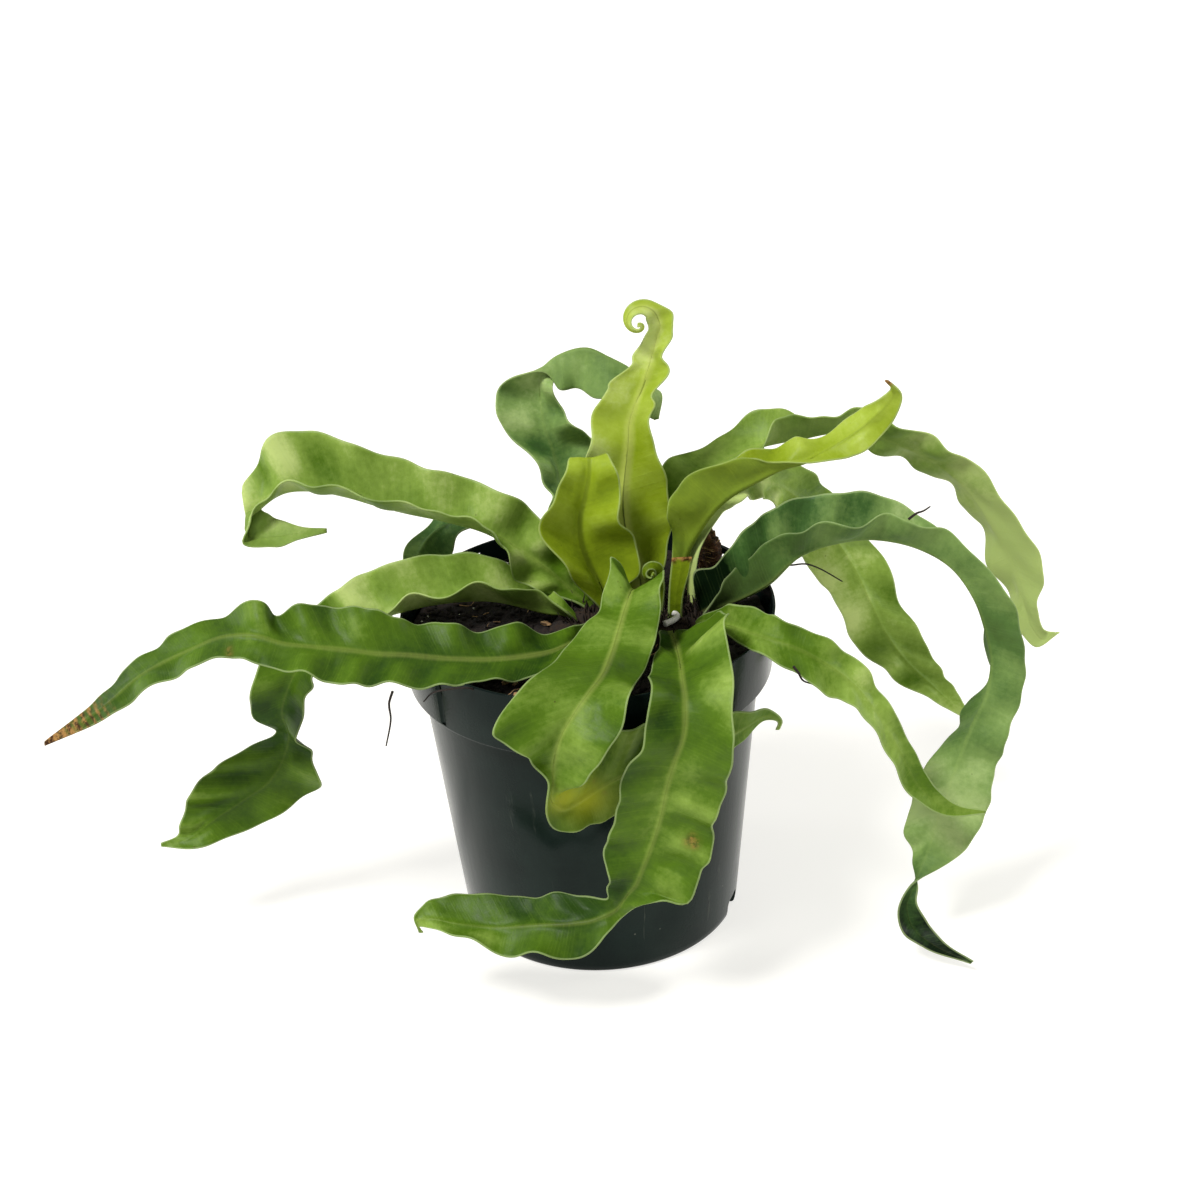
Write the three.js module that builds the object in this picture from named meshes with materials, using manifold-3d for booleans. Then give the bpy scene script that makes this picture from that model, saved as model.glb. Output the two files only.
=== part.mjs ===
// A potted bird's nest fern with long wavy fronds, standing in a round nursery pot of 165 mm.
// Units are millimetres, +Z is up, and the origin is the middle of the pot's underside.
import * as THREE from "three";
import { mergeVertices } from "three/addons/utils/BufferGeometryUtils.js";
import Module from "manifold-3d";

const wasm = await Module();
wasm.setup();

// The pot
const POT_TOP_RADIUS = 82.5;
const POT_HEIGHT = 152;
const POT_BASE_RADIUS = 62.5;
const BAND_HEIGHT = 28.5;
const BAND_FOOT = POT_HEIGHT - BAND_HEIGHT;
const BAND_LOW_RADIUS = 80.5;
const WALL_TOP_RADIUS = 75;
const WALL = 1.3;
const FLOOR = 2;
const POT_SIDES = 72;
const DRAIN_COUNT = 3;
const DRAIN_WIDTH = 13;
const DRAIN_HEIGHT = 9;
const DRAIN_DEPTH = 8;
const DRAIN_ANGLE = -20;
const SLOT_COUNT = 4;
const SLOT_RADIUS = 2.2;
const SLOT_ANGLE = 38;

// The filling
const GAP = 0.3;
const SOIL_TOP = 142;
const SOIL_SIDES = 40;
const SOIL_RINGS = 7;
const CROWN_TOP = 145.5;
const CROWN_FOOT = 129;
const CROWN_MIDDLE = [23, 1];
const CROWN_LENGTH = 82;
const CROWN_BREADTH = 54;
const CROWN_SIDES = 28;
const SOCKET_RADIUS = 3.3;
const MOUTH_RADIUS = 7.5;
const MOUTH_DEPTH = 9;
const CLOD_PLACE = [57, 40, SOIL_TOP + 9.5];
const CLOD_HALF = [5, 5, 14];
const CLOD_SIDES = [16, 10];
const SMALL_SIDES = 10;

// The blades: a stalk starts inside the crown, at STALK_FOOT, and leaves it at STALK_NECK
const BLADE = 0.8;
const STALK = 2.2;
const STALK_LENGTH = 34;
const STALK_FOOT = 131;
const STALK_NECK = 144;
const STALK_HALF = [2, 2.5];
const RIB = 1.1;
const LONGEST_STEP = 8;
const ACROSS = 4;
const ROLL_FACING = 0.8;

// The ripples of the margins, and the hollow of each half of the blade
const RIPPLE_HEIGHT = 1;
const RIPPLE_LENGTH = 30;
const RIPPLE_SHIFT = 1.7;
const SIDE_SHIFT = 2.2;
const SCALLOP = 0.02;
const HOLLOW = 0.1;

// Colour and roughness: estimates of the surfaces themselves, not of their lighting
const LOOKS = {
  pot_plastic: [0x16231f, 0.34],
  soil: [0x1d140e, 0.97],
  crown_scales: [0x3a2716, 0.9],
  peat: [0x33211a, 0.95],
  leaf_mid: [0x55802a, 0.42],
  leaf_young: [0x8fae33, 0.4],
  leaf_dark: [0x3c6a35, 0.42],
};

// Each frond stands in the crown at its foot, with its left margin towards side. From there each station gives
// a point of the midrib, then how far the left and the right margin lie from it. Left and right are as seen
// looking from crown to tip with the upper face up. A roll ends the frond in a spiral that faces the front.
const FRONDS = {
  frond_tall_centre: {
    look: "leaf_young",
    foot: [24, 9],
    side: [-1, 0],
    stations: [
      [[24, 14, 157], [-9, -3, 0], [9, -3, 0]],
      [[19, 18, 174], [-14, -9, 3], [19, 0, 3]],
      [[18, 23, 193], [-15, -5, 3], [20, -2, -1]],
      [[20, 26, 205], [-18, -4, 3], [16, -5, 1]],
      [[22, 28, 216], [-17, -4, 3], [10, -6, 2]],
      [[23, 31, 224], [-17, -3, 2], [8, -6, 3]],
      [[26, 33, 232], [-16, -3, 2], [8, -6, 2]],
      [[29, 36, 238], [-15, -2, 2], [4, -6, 0]],
      [[31, 37, 243], [-16, -2, 0], [8, -6, 2]],
      [[33, 39, 248], [-8, -2, 1], [7, -5, 1]],
      [[34, 41, 251], [-8, -2, 1], [4, -5, 1]],
      [[36, 43, 256], [-7, -2, 0], [7, -4, 3]],
      [[37, 43, 260], [-6, -2, 0], [6, -4, 3]],
      [[38, 42, 264], [-5, -2, 0], [5, -3, 2]],
      [[37, 42, 268], [-5, -2, 0], [6, -1, 2]],
    ],
    roll: { centre: [28, 268], radius: [8.8, 1.6], turns: 1.25, y: [41, 30], half: [4.4, 0.8], steps: 14 },
  },
  frond_short_yellow: {
    look: "leaf_young",
    foot: [11, 2],
    side: [-1, 0],
    stations: [
      [[7, 4, 157], [-9, -7, 5], [9, -3, 1]],
      [[2, 5, 169], [-12, -10, 6], [21, -4, -2]],
      [[-1, 5, 180], [-17, -7, 8], [23, -4, 2]],
      [[-1, 5, 192], [-15, -8, 6], [17, -6, 1]],
      [[2, 5, 204], [-12, -5, 4], [14, -6, 1]],
      [[4, 7, 213], [-10, -3, 3], [11, -3, 2]],
      [[4, 11, 218], [-8, 0, 0], [8, 0, 0]],
      [[4, 14, 213], [-6, 0, 0], [6, 0, 0]],
      [[4, 13, 204], [-1, 0, 0], [1, 0, 0]],
    ],
  },
  frond_back_left: {
    look: "leaf_dark",
    foot: [16, 15],
    side: [-0.9, -0.4],
    stations: [
      [[5, 24, 156], [-8, -4, 0], [8, -2, 0]],
      [[-3, 38, 170], [-11, -4, 6], [13, 9, 2]],
      [[-9, 49, 187], [-6, -9, 5], [18, 5, 3]],
      [[-12, 56, 202], [-11, -8, 4], [19, 3, 2]],
      [[-15, 60, 213], [-19, -4, 2], [14, -6, 1]],
      [[-16, 64, 226], [-18, -5, 4], [8, -6, -2]],
      [[-15, 66, 235], [-11, -6, 3], [5, -6, -2]],
      [[-11, 67, 240], [-3, -5, -2], [3, 5, -6]],
      [[-3, 68, 244], [-4, -9, -14], [2, 9, -14]],
      [[6, 66, 246], [-6, -6, -16], [1, 7, -23]],
      [[15, 62, 243], [-7, -11, -13], [2, 6, -24]],
      [[27, 56, 237], [-5, -11, -9], [2, 9, -12]],
      [[35, 50, 227], [-4, -4, -6], [3, 3, 0]],
      [[35, 48, 218], [-0.8, 0, 0], [0.8, 0, 0]],
    ],
  },
  frond_left_high: {
    look: "leaf_mid",
    foot: [2, 11],
    side: [-0.4, -0.9],
    stations: [
      [[-5, 14, 150], [-3, -5, 1], [2, 5, 2]],
      [[-14, 15, 160], [-9, -7, -3], [8, 5, 0]],
      [[-28, 15, 173], [-5, -13, 0], [14, 4, 5]],
      [[-42, 15, 183], [3, -14, 8], [15, 6, 11]],
      [[-60, 17, 189], [3, -14, 9], [9, 8, 16]],
      [[-77, 19, 193], [3, -15, 10], [8, 9, 17]],
      [[-90, 20, 197], [2, -15, 10], [6, 9, 19]],
      [[-103, 22, 201], [2, -15, 9], [3, 10, 20]],
      [[-117, 23, 204], [3, -14, 9], [0, 10, 24]],
      [[-130, 24, 203], [3, -11, 10], [-3, 10, 22]],
      [[-141, 24, 196], [5, -6, 9], [-1, 9, 18]],
      [[-148, 23, 188], [4, -5, 5], [1, 7, 12]],
      [[-147, 20, 184], [-2, -5, 1], [6, 5, 12]],
      [[-137, 19, 184], [1, -5, -2], [1, 6, 7]],
      [[-125, 17, 186], [1, -3, -1], [1, 3, 2]],
      [[-112, 17, 187], [0, 0, -0.7], [0, 0, 0.7]],
    ],
  },
  frond_left_mid: {
    look: "leaf_mid",
    foot: [-5, 2],
    side: [0, -1],
    stations: [
      [[-9, 1, 148], [0, -5, 3], [0, 5, 2]],
      [[-18, 2, 149], [0, -5, 9], [5, 8, 3]],
      [[-28, 3, 152], [1, -7, 13], [4, 13, 6]],
      [[-40, 4, 155], [1, -10, 11], [2, 8, 16]],
      [[-54, 4, 156], [1, -10, 11], [1, 9, 18]],
      [[-68, 4, 155], [1, -11, 10], [0, 9, 19]],
      [[-83, 2, 153], [2, -10, 9], [-3, 9, 19]],
      [[-101, 0, 149], [0, -14, 8], [-3, 9, 16]],
      [[-116, -2, 143], [0, -15, 2], [-3, 8, 13]],
      [[-126, -3, 134], [6, -13, -1], [-13, 2, 8]],
      [[-134, -4, 121], [9, -10, 1], [-16, -1, 1]],
      [[-138, -5, 108], [9, -11, 3], [-14, 4, -4]],
      [[-136, -6, 99], [7, -12, 3], [-6, 6, -2]],
      [[-139, -6, 88], [11, -8, 3], [-16, 3, 3]],
      [[-147, -8, 76], [23, 0, -2], [-24, 0, 8]],
      [[-160, -9, 67], [22, 1, -5], [-22, -1, 7]],
      [[-175, -11, 58], [13, -1, -6], [-13, -1, 3]],
      [[-188, -14, 50], [4, -4, -2], [-4, 2, 1]],
      [[-199, -15, 49], [0, 0, -0.7], [0, 0, 0.7]],
    ],
  },
  frond_left_low: {
    look: "leaf_mid",
    foot: [0, -8],
    side: [0, -1],
    stations: [
      [[-7, -24, 147], [-3, -6, -1], [0, 8, 3]],
      [[-18, -35, 149], [0, -14, -1], [0, 12, 3]],
      [[-30, -40, 150], [0, -15, -1], [0, 12, 10]],
      [[-44, -44, 152], [1, -17, -1], [0, 13, 7]],
      [[-59, -47, 155], [1, -17, -2], [0, 14, 9]],
      [[-76, -49, 159], [1, -17, -6], [-1, 14, 9]],
      [[-89, -50, 161], [1, -17, -3], [0, 11, 15]],
      [[-103, -50, 164], [1, -17, -8], [-1, 14, 13]],
      [[-116, -50, 166], [2, -17, -3], [-2, 14, 12]],
      [[-128, -49, 168], [2, -14, -5], [-2, 13, 8]],
      [[-138, -47, 171], [1, -10, -8], [2, 12, 9]],
      [[-150, -44, 170], [2, -11, -3], [0, 13, 5]],
      [[-168, -40, 162], [3, -10, -3], [-3, 11, 4]],
      [[-190, -35, 149], [5, -7, -2], [-3, 8, 3]],
      [[-212, -30, 130], [3, -4, -2], [-3, 5, 1]],
      [[-240, -24, 111], [0, 0, -0.7], [0, 0, 0.7]],
    ],
  },
  frond_left_behind: {
    look: "leaf_dark",
    foot: [8, 17],
    side: [-0.4, -0.9],
    stations: [
      [[-4, 30, 153], [-2, -5, 1], [2, 6, 2]],
      [[-24, 40, 166], [0, -8, -2], [2, 9, 6]],
      [[-42, 47, 173], [0, -7, 1], [0, 9, 6]],
      [[-57, 48, 173], [2, -6, -2], [0, 10, 4]],
      [[-68, 45, 169], [8, -5, -7], [-1, 9, 1]],
      [[-74, 41, 163], [9, -4, -9], [-6, 5, 1]],
      [[-78, 39, 156], [2, -2, -4], [-4, 1, 2]],
      [[-80, 38, 150], [0.8, 0, 0], [-0.8, 0, 0]],
    ],
  },
  frond_front_left: {
    look: "leaf_mid",
    foot: [25, -9],
    side: [1, 0],
    stations: [
      [[24, -15, 157], [6, 3, 2], [-5, 2, 2]],
      [[19, -26, 171], [13, 5, 8], [-7, 7, 14]],
      [[16, -36, 169], [16, 4, 7], [-8, 10, 5]],
      [[13, -47, 166], [17, 6, 5], [-9, 10, 2]],
      [[9, -63, 163], [17, 6, -3], [-17, 10, 0]],
      [[4, -79, 161], [15, 5, -5], [-24, -8, 8]],
      [[-2, -90, 159], [17, -7, 2], [-30, -8, 5]],
      [[-8, -96, 154], [20, -9, 2], [-32, -14, 3]],
      [[-13, -99, 147], [20, -11, 2], [-21, -11, 3]],
      [[-17, -100, 135], [17, -7, 1], [-7, -8, 4]],
      [[-18, -100, 126], [13, -8, 3], [-2, -5, 3]],
      [[-19, -97, 114], [8, -2, 9], [-2, -3, -4]],
      [[-14, -92, 107], [2, -2, 17], [-3, -2, -9]],
      [[-3, -88, 111], [2, -1, 21], [-3, 0, -16]],
      [[12, -87, 119], [2, -1, 23], [-2, 0, -19]],
      [[30, -83, 121], [1, -2, 19], [-1, 0, -18]],
      [[48, -75, 123], [1, -2, 14], [-1, 0, -13]],
      [[62, -66, 125], [1, -1, 8], [-1, 0, -7]],
      [[73, -57, 125], [1, 0, 3], [-1, 0, -2]],
      [[79, -53, 119], [0.7, 0, 0.2], [-0.7, 0, -0.2]],
      [[78, -52, 115], [0.6, 0, 0], [-0.6, 0, 0]],
    ],
  },
  frond_front_right: {
    look: "leaf_mid",
    foot: [35, -15],
    side: [1, 0],
    stations: [
      [[36, -28, 148], [8, 2, 3], [-6, 2, 3]],
      [[37, -50, 152], [19, 8, 16], [-7, 9, 1]],
      [[37, -76, 156], [19, 8, 16], [-12, 10, 1]],
      [[37, -92, 153], [19, -2, 8], [-15, -3, 8]],
      [[36, -98, 144], [19, -9, 5], [-14, -7, 9]],
      [[32, -99, 132], [22, -10, 3], [-14, -5, 10]],
      [[28, -98, 118], [23, -6, 0], [-18, -4, 8]],
      [[25, -98, 104], [22, -3, -1], [-17, -3, 6]],
      [[21, -97, 90], [24, -4, -3], [-18, 0, 5]],
      [[16, -97, 76], [23, -7, -1], [-14, -1, 4]],
      [[14, -97, 71], [21, -7, -5], [-11, -2, 5]],
      [[11, -96, 66], [12, -11, 3], [-9, -2, 5]],
      [[4, -96, 57], [4, 1, -3], [-3, 1, 6]],
      [[-4, -96, 53], [3, -8, -4], [-4, 8, 7]],
      [[-13, -95, 51], [2, -9, -11], [-4, 11, 8]],
      [[-28, -92, 49], [0, -12, -6], [-2, 12, 6]],
      [[-47, -88, 46], [1, -11, -5], [-2, 12, 9]],
      [[-64, -85, 47], [2, -8, 0], [-2, 11, 7]],
      [[-75, -82, 48], [2, -4, -2], [-1, 7, 3]],
      [[-80, -81, 47], [1, 0, -3], [-1, 1, 2]],
      [[-79, -80, 40], [0.7, 0, 0], [-0.7, 0, 0]],
    ],
  },
  frond_right_low: {
    look: "leaf_mid",
    foot: [47, -10],
    side: [0, 1],
    stations: [
      [[53, -22, 152], [1, 5, 3], [-1, -5, 2]],
      [[63, -36, 156], [2, 6, 8], [-1, -7, -2]],
      [[73, -47, 157], [2, 9, 7], [-2, -9, -3]],
      [[85, -53, 155], [-1, 8, 7], [-1, -7, -7]],
      [[98, -56, 148], [3, 7, 7], [-2, -6, -10]],
      [[109, -58, 139], [4, 7, 5], [-2, -6, -6]],
      [[119, -60, 125], [4, 4, 5], [-2, -6, -4]],
      [[129, -61, 106], [5, 4, 1], [-4, -4, -2]],
      [[138, -61, 87], [6, 2, 0], [-4, -4, -1]],
      [[152, -60, 75], [3, 1, 1], [-2, -2, -2]],
      [[167, -59, 72], [0, 0, 0.7], [0, 0, -0.7]],
    ],
  },
  frond_right_arch: {
    look: "leaf_dark",
    foot: [50, 0],
    side: [0, 1],
    stations: [
      [[56, 0, 148], [-9, 6, 11], [-1, -3, 4]],
      [[67, 0, 151], [-11, 7, 13], [-7, 0, 9]],
      [[79, 0, 157], [-12, 10, 18], [-9, 5, 10]],
      [[93, 1, 170], [-10, 10, 19], [-6, -3, 13]],
      [[110, 1, 176], [-3, 9, 19], [-2, -9, 12]],
      [[127, 0, 177], [1, 8, 17], [0, -7, 13]],
      [[144, -4, 174], [3, 12, 9], [-1, -5, 14]],
      [[158, -8, 166], [4, 12, 0], [1, -2, 14]],
      [[168, -13, 152], [4, 13, -3], [11, -7, 8]],
      [[173, -17, 137], [3, 13, -6], [13, -6, 4]],
      [[175, -21, 124], [2, 8, -9], [13, -7, 4]],
      [[173, -25, 112], [-5, 8, -8], [14, -3, 1]],
      [[166, -30, 98], [-5, 11, -6], [15, -4, -1]],
      [[157, -36, 77], [-13, 8, -5], [17, -3, 0]],
      [[149, -43, 56], [-12, 7, -4], [18, -4, -1]],
      [[144, -48, 43], [-6, 4, -3], [11, -3, -1]],
      [[137, -55, 31], [2, 0, 0], [-2, -1, 1]],
      [[134, -58, 24], [4, -1, 2], [-4, -3, 1]],
      [[136, -63, 15], [6, 1, 3], [-4, -5, 1]],
      [[144, -69, 10], [4, 0, 2], [-4, -2, 0]],
      [[160, -78, 6], [0.5, 0, 0.5], [-0.5, 0, -0.5]],
    ],
  },
  frond_right_upper: {
    look: "leaf_young",
    foot: [40, 6],
    side: [0, 1],
    stations: [
      [[41, 9, 156], [-1, 6, 3], [-3, -5, 3]],
      [[45, 11, 170], [-2, 6, 3], [-6, 2, 8]],
      [[50, 12, 179], [-2, 9, 8], [-13, -4, 10]],
      [[57, 12, 189], [-3, 11, 9], [-18, -3, 9]],
      [[65, 12, 196], [-2, 9, 11], [-19, 0, 9]],
      [[75, 13, 201], [-2, 10, 9], [-15, -2, 11]],
      [[87, 15, 206], [-2, 11, 6], [-12, -4, 7]],
      [[98, 17, 208], [-5, 10, 6], [-13, -6, 2]],
      [[108, 19, 212], [-7, 8, 1], [0, -6, -2]],
      [[120, 20, 219], [-3, 8, 3], [2, -4, -8]],
      [[128, 20, 226], [-3, 6, 2], [4, -3, -6]],
      [[134, 18, 233], [-3, 1, 2], [4, -2, -2]],
      [[136, 16, 239], [-1.5, 1, 0.5], [2.5, -1.5, -1]],
      [[132, 13, 245], [-0.6, 0, 0], [0.6, 0, 0]],
    ],
  },
  frond_right_long: {
    look: "leaf_mid",
    foot: [38, 14],
    side: [-0.4, 0.9],
    stations: [
      [[46, 23, 157], [-4, 5, 2], [2, -4, 1]],
      [[48, 34, 174], [-10, 5, 8], [3, -6, 3]],
      [[54, 43, 188], [-16, 5, 9], [4, -13, 2]],
      [[64, 50, 194], [-15, 8, 2], [3, -15, 1]],
      [[75, 54, 198], [-10, 12, 2], [2, -14, 1]],
      [[88, 56, 200], [-6, 12, 11], [-3, -10, 11]],
      [[101, 58, 201], [-1, 15, 5], [-5, -5, 13]],
      [[114, 58, 203], [0, 14, -3], [-3, -9, 11]],
      [[126, 58, 203], [-3, 10, -9], [-1, -5, 13]],
      [[140, 55, 199], [-6, 8, -9], [2, -7, 11]],
      [[158, 52, 190], [-6, 10, -7], [4, -8, 10]],
      [[174, 47, 177], [-5, 11, -5], [5, -7, 11]],
      [[186, 41, 159], [-6, 12, -2], [9, -10, 7]],
      [[195, 36, 142], [-8, 11, -4], [11, -11, 3]],
      [[200, 31, 124], [-5, 7, -5], [4, -7, 2]],
      [[204, 28, 112], [-5, 2, -3], [3, -3, 2]],
      [[208, 27, 107], [-3, -1, -3], [2, 0, 4]],
      [[214, 24, 112], [0.6, 0, 0], [-0.6, 0, 0]],
    ],
  },
  frond_right_back: {
    look: "leaf_mid",
    foot: [46, 9],
    side: [-0.4, 0.9],
    stations: [
      [[49, 15, 171], [-2, 4, 1], [2, -4, 1]],
      [[59, 28, 183], [-2, 6, 1], [3, -6, 0]],
      [[70, 46, 184], [-3, 9, 1], [3, -10, -2]],
      [[83, 63, 178], [5, 10, 4], [-2, -12, -3]],
      [[95, 76, 167], [9, 11, 6], [-7, -12, -1]],
      [[106, 80, 155], [9, 11, 6], [-10, -9, -5]],
      [[116, 79, 142], [9, 12, 7], [-15, -9, -4]],
      [[127, 75, 125], [14, 8, 2], [-17, -1, -5]],
      [[134, 67, 110], [14, 4, 0], [-16, 1, 1]],
      [[141, 59, 96], [16, 3, -2], [-17, 0, 0]],
      [[150, 53, 84], [14, 2, -2], [-15, -3, 1]],
      [[162, 47, 73], [9, 2, -1], [-10, -3, 1]],
      [[179, 40, 58], [0.6, 0, 0.4], [-0.6, 0, -0.4]],
    ],
  },
  frond_crozier: {
    look: "leaf_young",
    foot: [30, 1],
    side: [-1, 0],
    stations: [
      [[31, 1, 152], [-2.4, 0, 0], [2.4, 0, 0]],
      [[32, 2, 160], [-2, 0, 0], [2, 0, 0]],
    ],
    roll: { centre: [28, 166], radius: [4.4, 1.5], turns: 1.15, y: [2, -3], half: [2.2, 0.8], steps: 10 },
  },
  cut_stalk: {
    look: "leaf_young",
    foot: [38, -4],
    side: [-1, 0],
    stations: [
      [[39, -4, 158], [-3, 0, 0], [3, 0, 0]],
      [[41, -4, 168], [-4, 0, 0], [4, 0, 1]],
      [[42, -4, 175], [-4, 0, 0], [4, 0, 0]],
    ],
  },
};

const add = (a, b, k = 1) => [a[0] + k * b[0], a[1] + k * b[1], a[2] + k * b[2]];
const cross = (a, b) => [
  a[1] * b[2] - a[2] * b[1],
  a[2] * b[0] - a[0] * b[2],
  a[0] * b[1] - a[1] * b[0],
];
const size = (a) => Math.hypot(a[0], a[1], a[2]);
const unit = (a) => a.map((x) => x / (size(a) || 1));
const opposite = (a) => a.map((x) => -x);
const mix = ([a, b], share) => a + (b - a) * share;
const ease = (t) => {
  const c = Math.min(1, Math.max(0, t));
  return c * c * (3 - 2 * c);
};

// The two stations of a stalk inside the crown.
function footRows({ foot, side }) {
  const row = (z, half) => {
    const left = [side[0] * half, side[1] * half, 0];
    return [[foot[0], foot[1], z], left, opposite(left)];
  };
  return [row(STALK_FOOT, STALK_HALF[0]), row(STALK_NECK, STALK_HALF[1])];
}

// The stations of a tip that rolls up: its blade turns part way edge on to the front as the roll starts.
function rollRows({ centre, radius, turns, y, half, steps }) {
  const rows = [];
  for (let i = 1; i <= steps; i += 1) {
    const share = i / steps;
    const wound = 1 - (1 - share) ** 2;
    const angle = 2 * Math.PI * turns * share;
    const facing = Math.min(angle, ROLL_FACING);
    const inward = mix(half, wound) * Math.cos(facing);
    const near = mix(half, wound) * Math.sin(facing);
    const left = [-inward * Math.cos(angle), -near, -inward * Math.sin(angle)];
    const r = mix(radius, wound);
    const point = [centre[0] + r * Math.cos(angle), mix(y, share), centre[1] + r * Math.sin(angle)];
    rows.push([point, left, opposite(left)]);
  }
  return rows;
}

// All stations of a frond, from its foot to its tip, nine numbers each.
function rowsOf(frond) {
  const roll = frond.roll ? rollRows(frond.roll) : [];
  return [...footRows(frond), ...frond.stations, ...roll].map((row) => row.flat());
}

// Chord length from the foot to each station.
function reach(rows) {
  const at = [0];
  for (let i = 1; i < rows.length; i += 1)
    at.push(at[i - 1] + size(add(rows[i], rows[i - 1], -1)));
  return at;
}

// Slope of one number of the rows at station i, weighted by the chords on both sides.
function slope(rows, at, i, k) {
  const last = rows.length - 1;
  const rate = (j) => (rows[j + 1][k] - rows[j][k]) / (at[j + 1] - at[j]);
  if (i === 0) return rate(0);
  if (i === last) return rate(last - 1);
  const before = at[i] - at[i - 1];
  const after = at[i + 1] - at[i];
  return (rate(i) * before + rate(i - 1) * after) / (before + after);
}

// A smooth curve through the stations: the nine numbers of a station at chord length s.
function along(rows, at, s) {
  let i = 0;
  while (i < rows.length - 2 && s > at[i + 1]) i += 1;
  const h = at[i + 1] - at[i];
  const t = (s - at[i]) / h;
  const [t2, t3] = [t * t, t * t * t];
  return rows[i].map((a, k) => {
    const b = rows[i + 1][k];
    const [ma, mb] = [slope(rows, at, i, k) * h, slope(rows, at, i + 1, k) * h];
    return (2 * t3 - 3 * t2 + 1) * a + (t3 - 2 * t2 + t) * ma + (3 * t2 - 2 * t3) * b + (t3 - t2) * mb;
  });
}

// The middle surface of a blade: s runs from foot to tip in mm, v from the left margin (-1) to the right (1).
function bladeSurface(rows, phase) {
  const at = reach(rows);
  const total = at[at.length - 1];
  const point = (s, v) => {
    const row = along(rows, at, Math.min(total, Math.max(0, s)));
    const ahead = along(rows, at, Math.min(total, s + 0.5));
    const behind = along(rows, at, Math.max(0, s - 0.5));
    const forward = unit(add(ahead, behind, -1));
    const margin = v < 0 ? row.slice(3, 6) : row.slice(6, 9);
    const up = unit(v < 0 ? cross(forward, margin) : cross(margin, forward));
    const f = Math.abs(v);
    const width = size(margin);
    const full = ease((width - 3) / 9);
    const turn = (2 * Math.PI * s) / RIPPLE_LENGTH + phase + (v < 0 ? SIDE_SHIFT : 0);
    const lift = RIPPLE_HEIGHT * full * f * f * Math.sin(turn) - HOLLOW * width * f * (1 - f);
    const spread = f * (1 + SCALLOP * full * Math.sin(1.3 * turn + 1));
    return add(add(row, margin, spread), up, lift);
  };
  return { point, total, at };
}

// The blade's own normal at a point, from two short steps over the surface.
function bladeNormal(surface, s, v) {
  const ds = 0.6;
  const side = (w) => {
    const a = surface.point(Math.min(surface.total, s + ds), w);
    const b = surface.point(Math.max(0, s - ds), w);
    const c = surface.point(s, Math.min(1, w + 0.08));
    const d = surface.point(s, Math.max(-1, w - 0.08));
    return unit(cross(add(c, d, -1), add(a, b, -1)));
  };
  if (Math.abs(v) > 0.01) return side(v);
  return unit(add(side(-0.12), side(0.12)));
}

// Where the blade is cut across: each stretch between two stations in equal steps.
function cuts(at) {
  const list = [0];
  for (let i = 1; i < at.length; i += 1) {
    const stretch = at[i] - at[i - 1];
    const steps = Math.ceil(stretch / LONGEST_STEP);
    for (let k = 1; k <= steps; k += 1) list.push(at[i - 1] + (stretch * k) / steps);
  }
  return list;
}

// Upper and lower skin of a frond as one closed mesh: thick at its foot, with a rib under the middle.
function frondGeometry(rows, phase) {
  const surface = bladeSurface(rows, phase);
  const top = [];
  const bottom = [];
  const list = cuts(surface.at);
  list.forEach((s) => {
    const foot = 1 - ease(s / STALK_LENGTH);
    for (let j = 0; j <= ACROSS; j += 1) {
      const v = (2 * j) / ACROSS - 1;
      const p = surface.point(s, v);
      const n = bladeNormal(surface, s, v);
      const half = (BLADE + (STALK - BLADE) * foot * (1 - 0.5 * Math.abs(v))) / 2;
      const rib = Math.abs(v) < 0.01 ? RIB * (1 - (0.85 * s) / surface.total) : 0;
      top.push(add(p, n, half));
      bottom.push(add(p, n, -half - rib));
    }
  });
  return closedSkin(top, bottom, list.length - 1, ACROSS);
}

// Joins two grids of points, one over the other, into a closed mesh.
function closedSkin(top, bottom, steps, across) {
  const row = across + 1;
  const under = top.length;
  const index = [];
  const quad = (a, b, c, d) => index.push(a, b, c, a, c, d);
  for (let i = 0; i < steps; i += 1) {
    for (let j = 0; j < across; j += 1) {
      const a = i * row + j;
      quad(a, a + 1, a + row + 1, a + row);
      index.push(under + a, under + a + row + 1, under + a + 1);
      index.push(under + a, under + a + row, under + a + row + 1);
    }
    const left = i * row;
    const right = left + across;
    quad(left, left + row, under + left + row, under + left);
    quad(right, under + right, under + right + row, right + row);
  }
  const end = steps * row;
  for (let j = 0; j < across; j += 1) {
    quad(j, under + j, under + j + 1, j + 1);
    quad(end + j, end + j + 1, under + end + j + 1, under + end + j);
  }
  const geometry = new THREE.BufferGeometry();
  geometry.setAttribute("position", new THREE.Float32BufferAttribute([...top, ...bottom].flat(), 3));
  geometry.setIndex(index);
  geometry.computeVertexNormals();
  return geometry;
}

// A three.js geometry as a solid that can be cut and joined.
function solidOf(geometry) {
  geometry.deleteAttribute("normal");
  geometry.deleteAttribute("uv");
  const merged = mergeVertices(geometry, 1e-3);
  return new wasm.Manifold(
    new wasm.Mesh({
      numProp: 3,
      vertProperties: merged.getAttribute("position").array,
      triVerts: new Uint32Array(merged.getIndex().array),
    }),
  );
}

// A solid as a three.js geometry.
function geometryOf(solid) {
  const mesh = solid.getMesh();
  const geometry = new THREE.BufferGeometry();
  geometry.setAttribute("position", new THREE.BufferAttribute(mesh.vertProperties, 3));
  geometry.setIndex(new THREE.BufferAttribute(mesh.triVerts, 1));
  geometry.computeVertexNormals();
  return geometry;
}

// A profile of radius and height, turned round the Z axis.
function turned(profile, sides) {
  const points = profile.map(([radius, z]) => new THREE.Vector2(radius, z));
  return new THREE.LatheGeometry(points, sides).rotateX(Math.PI / 2);
}

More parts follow.
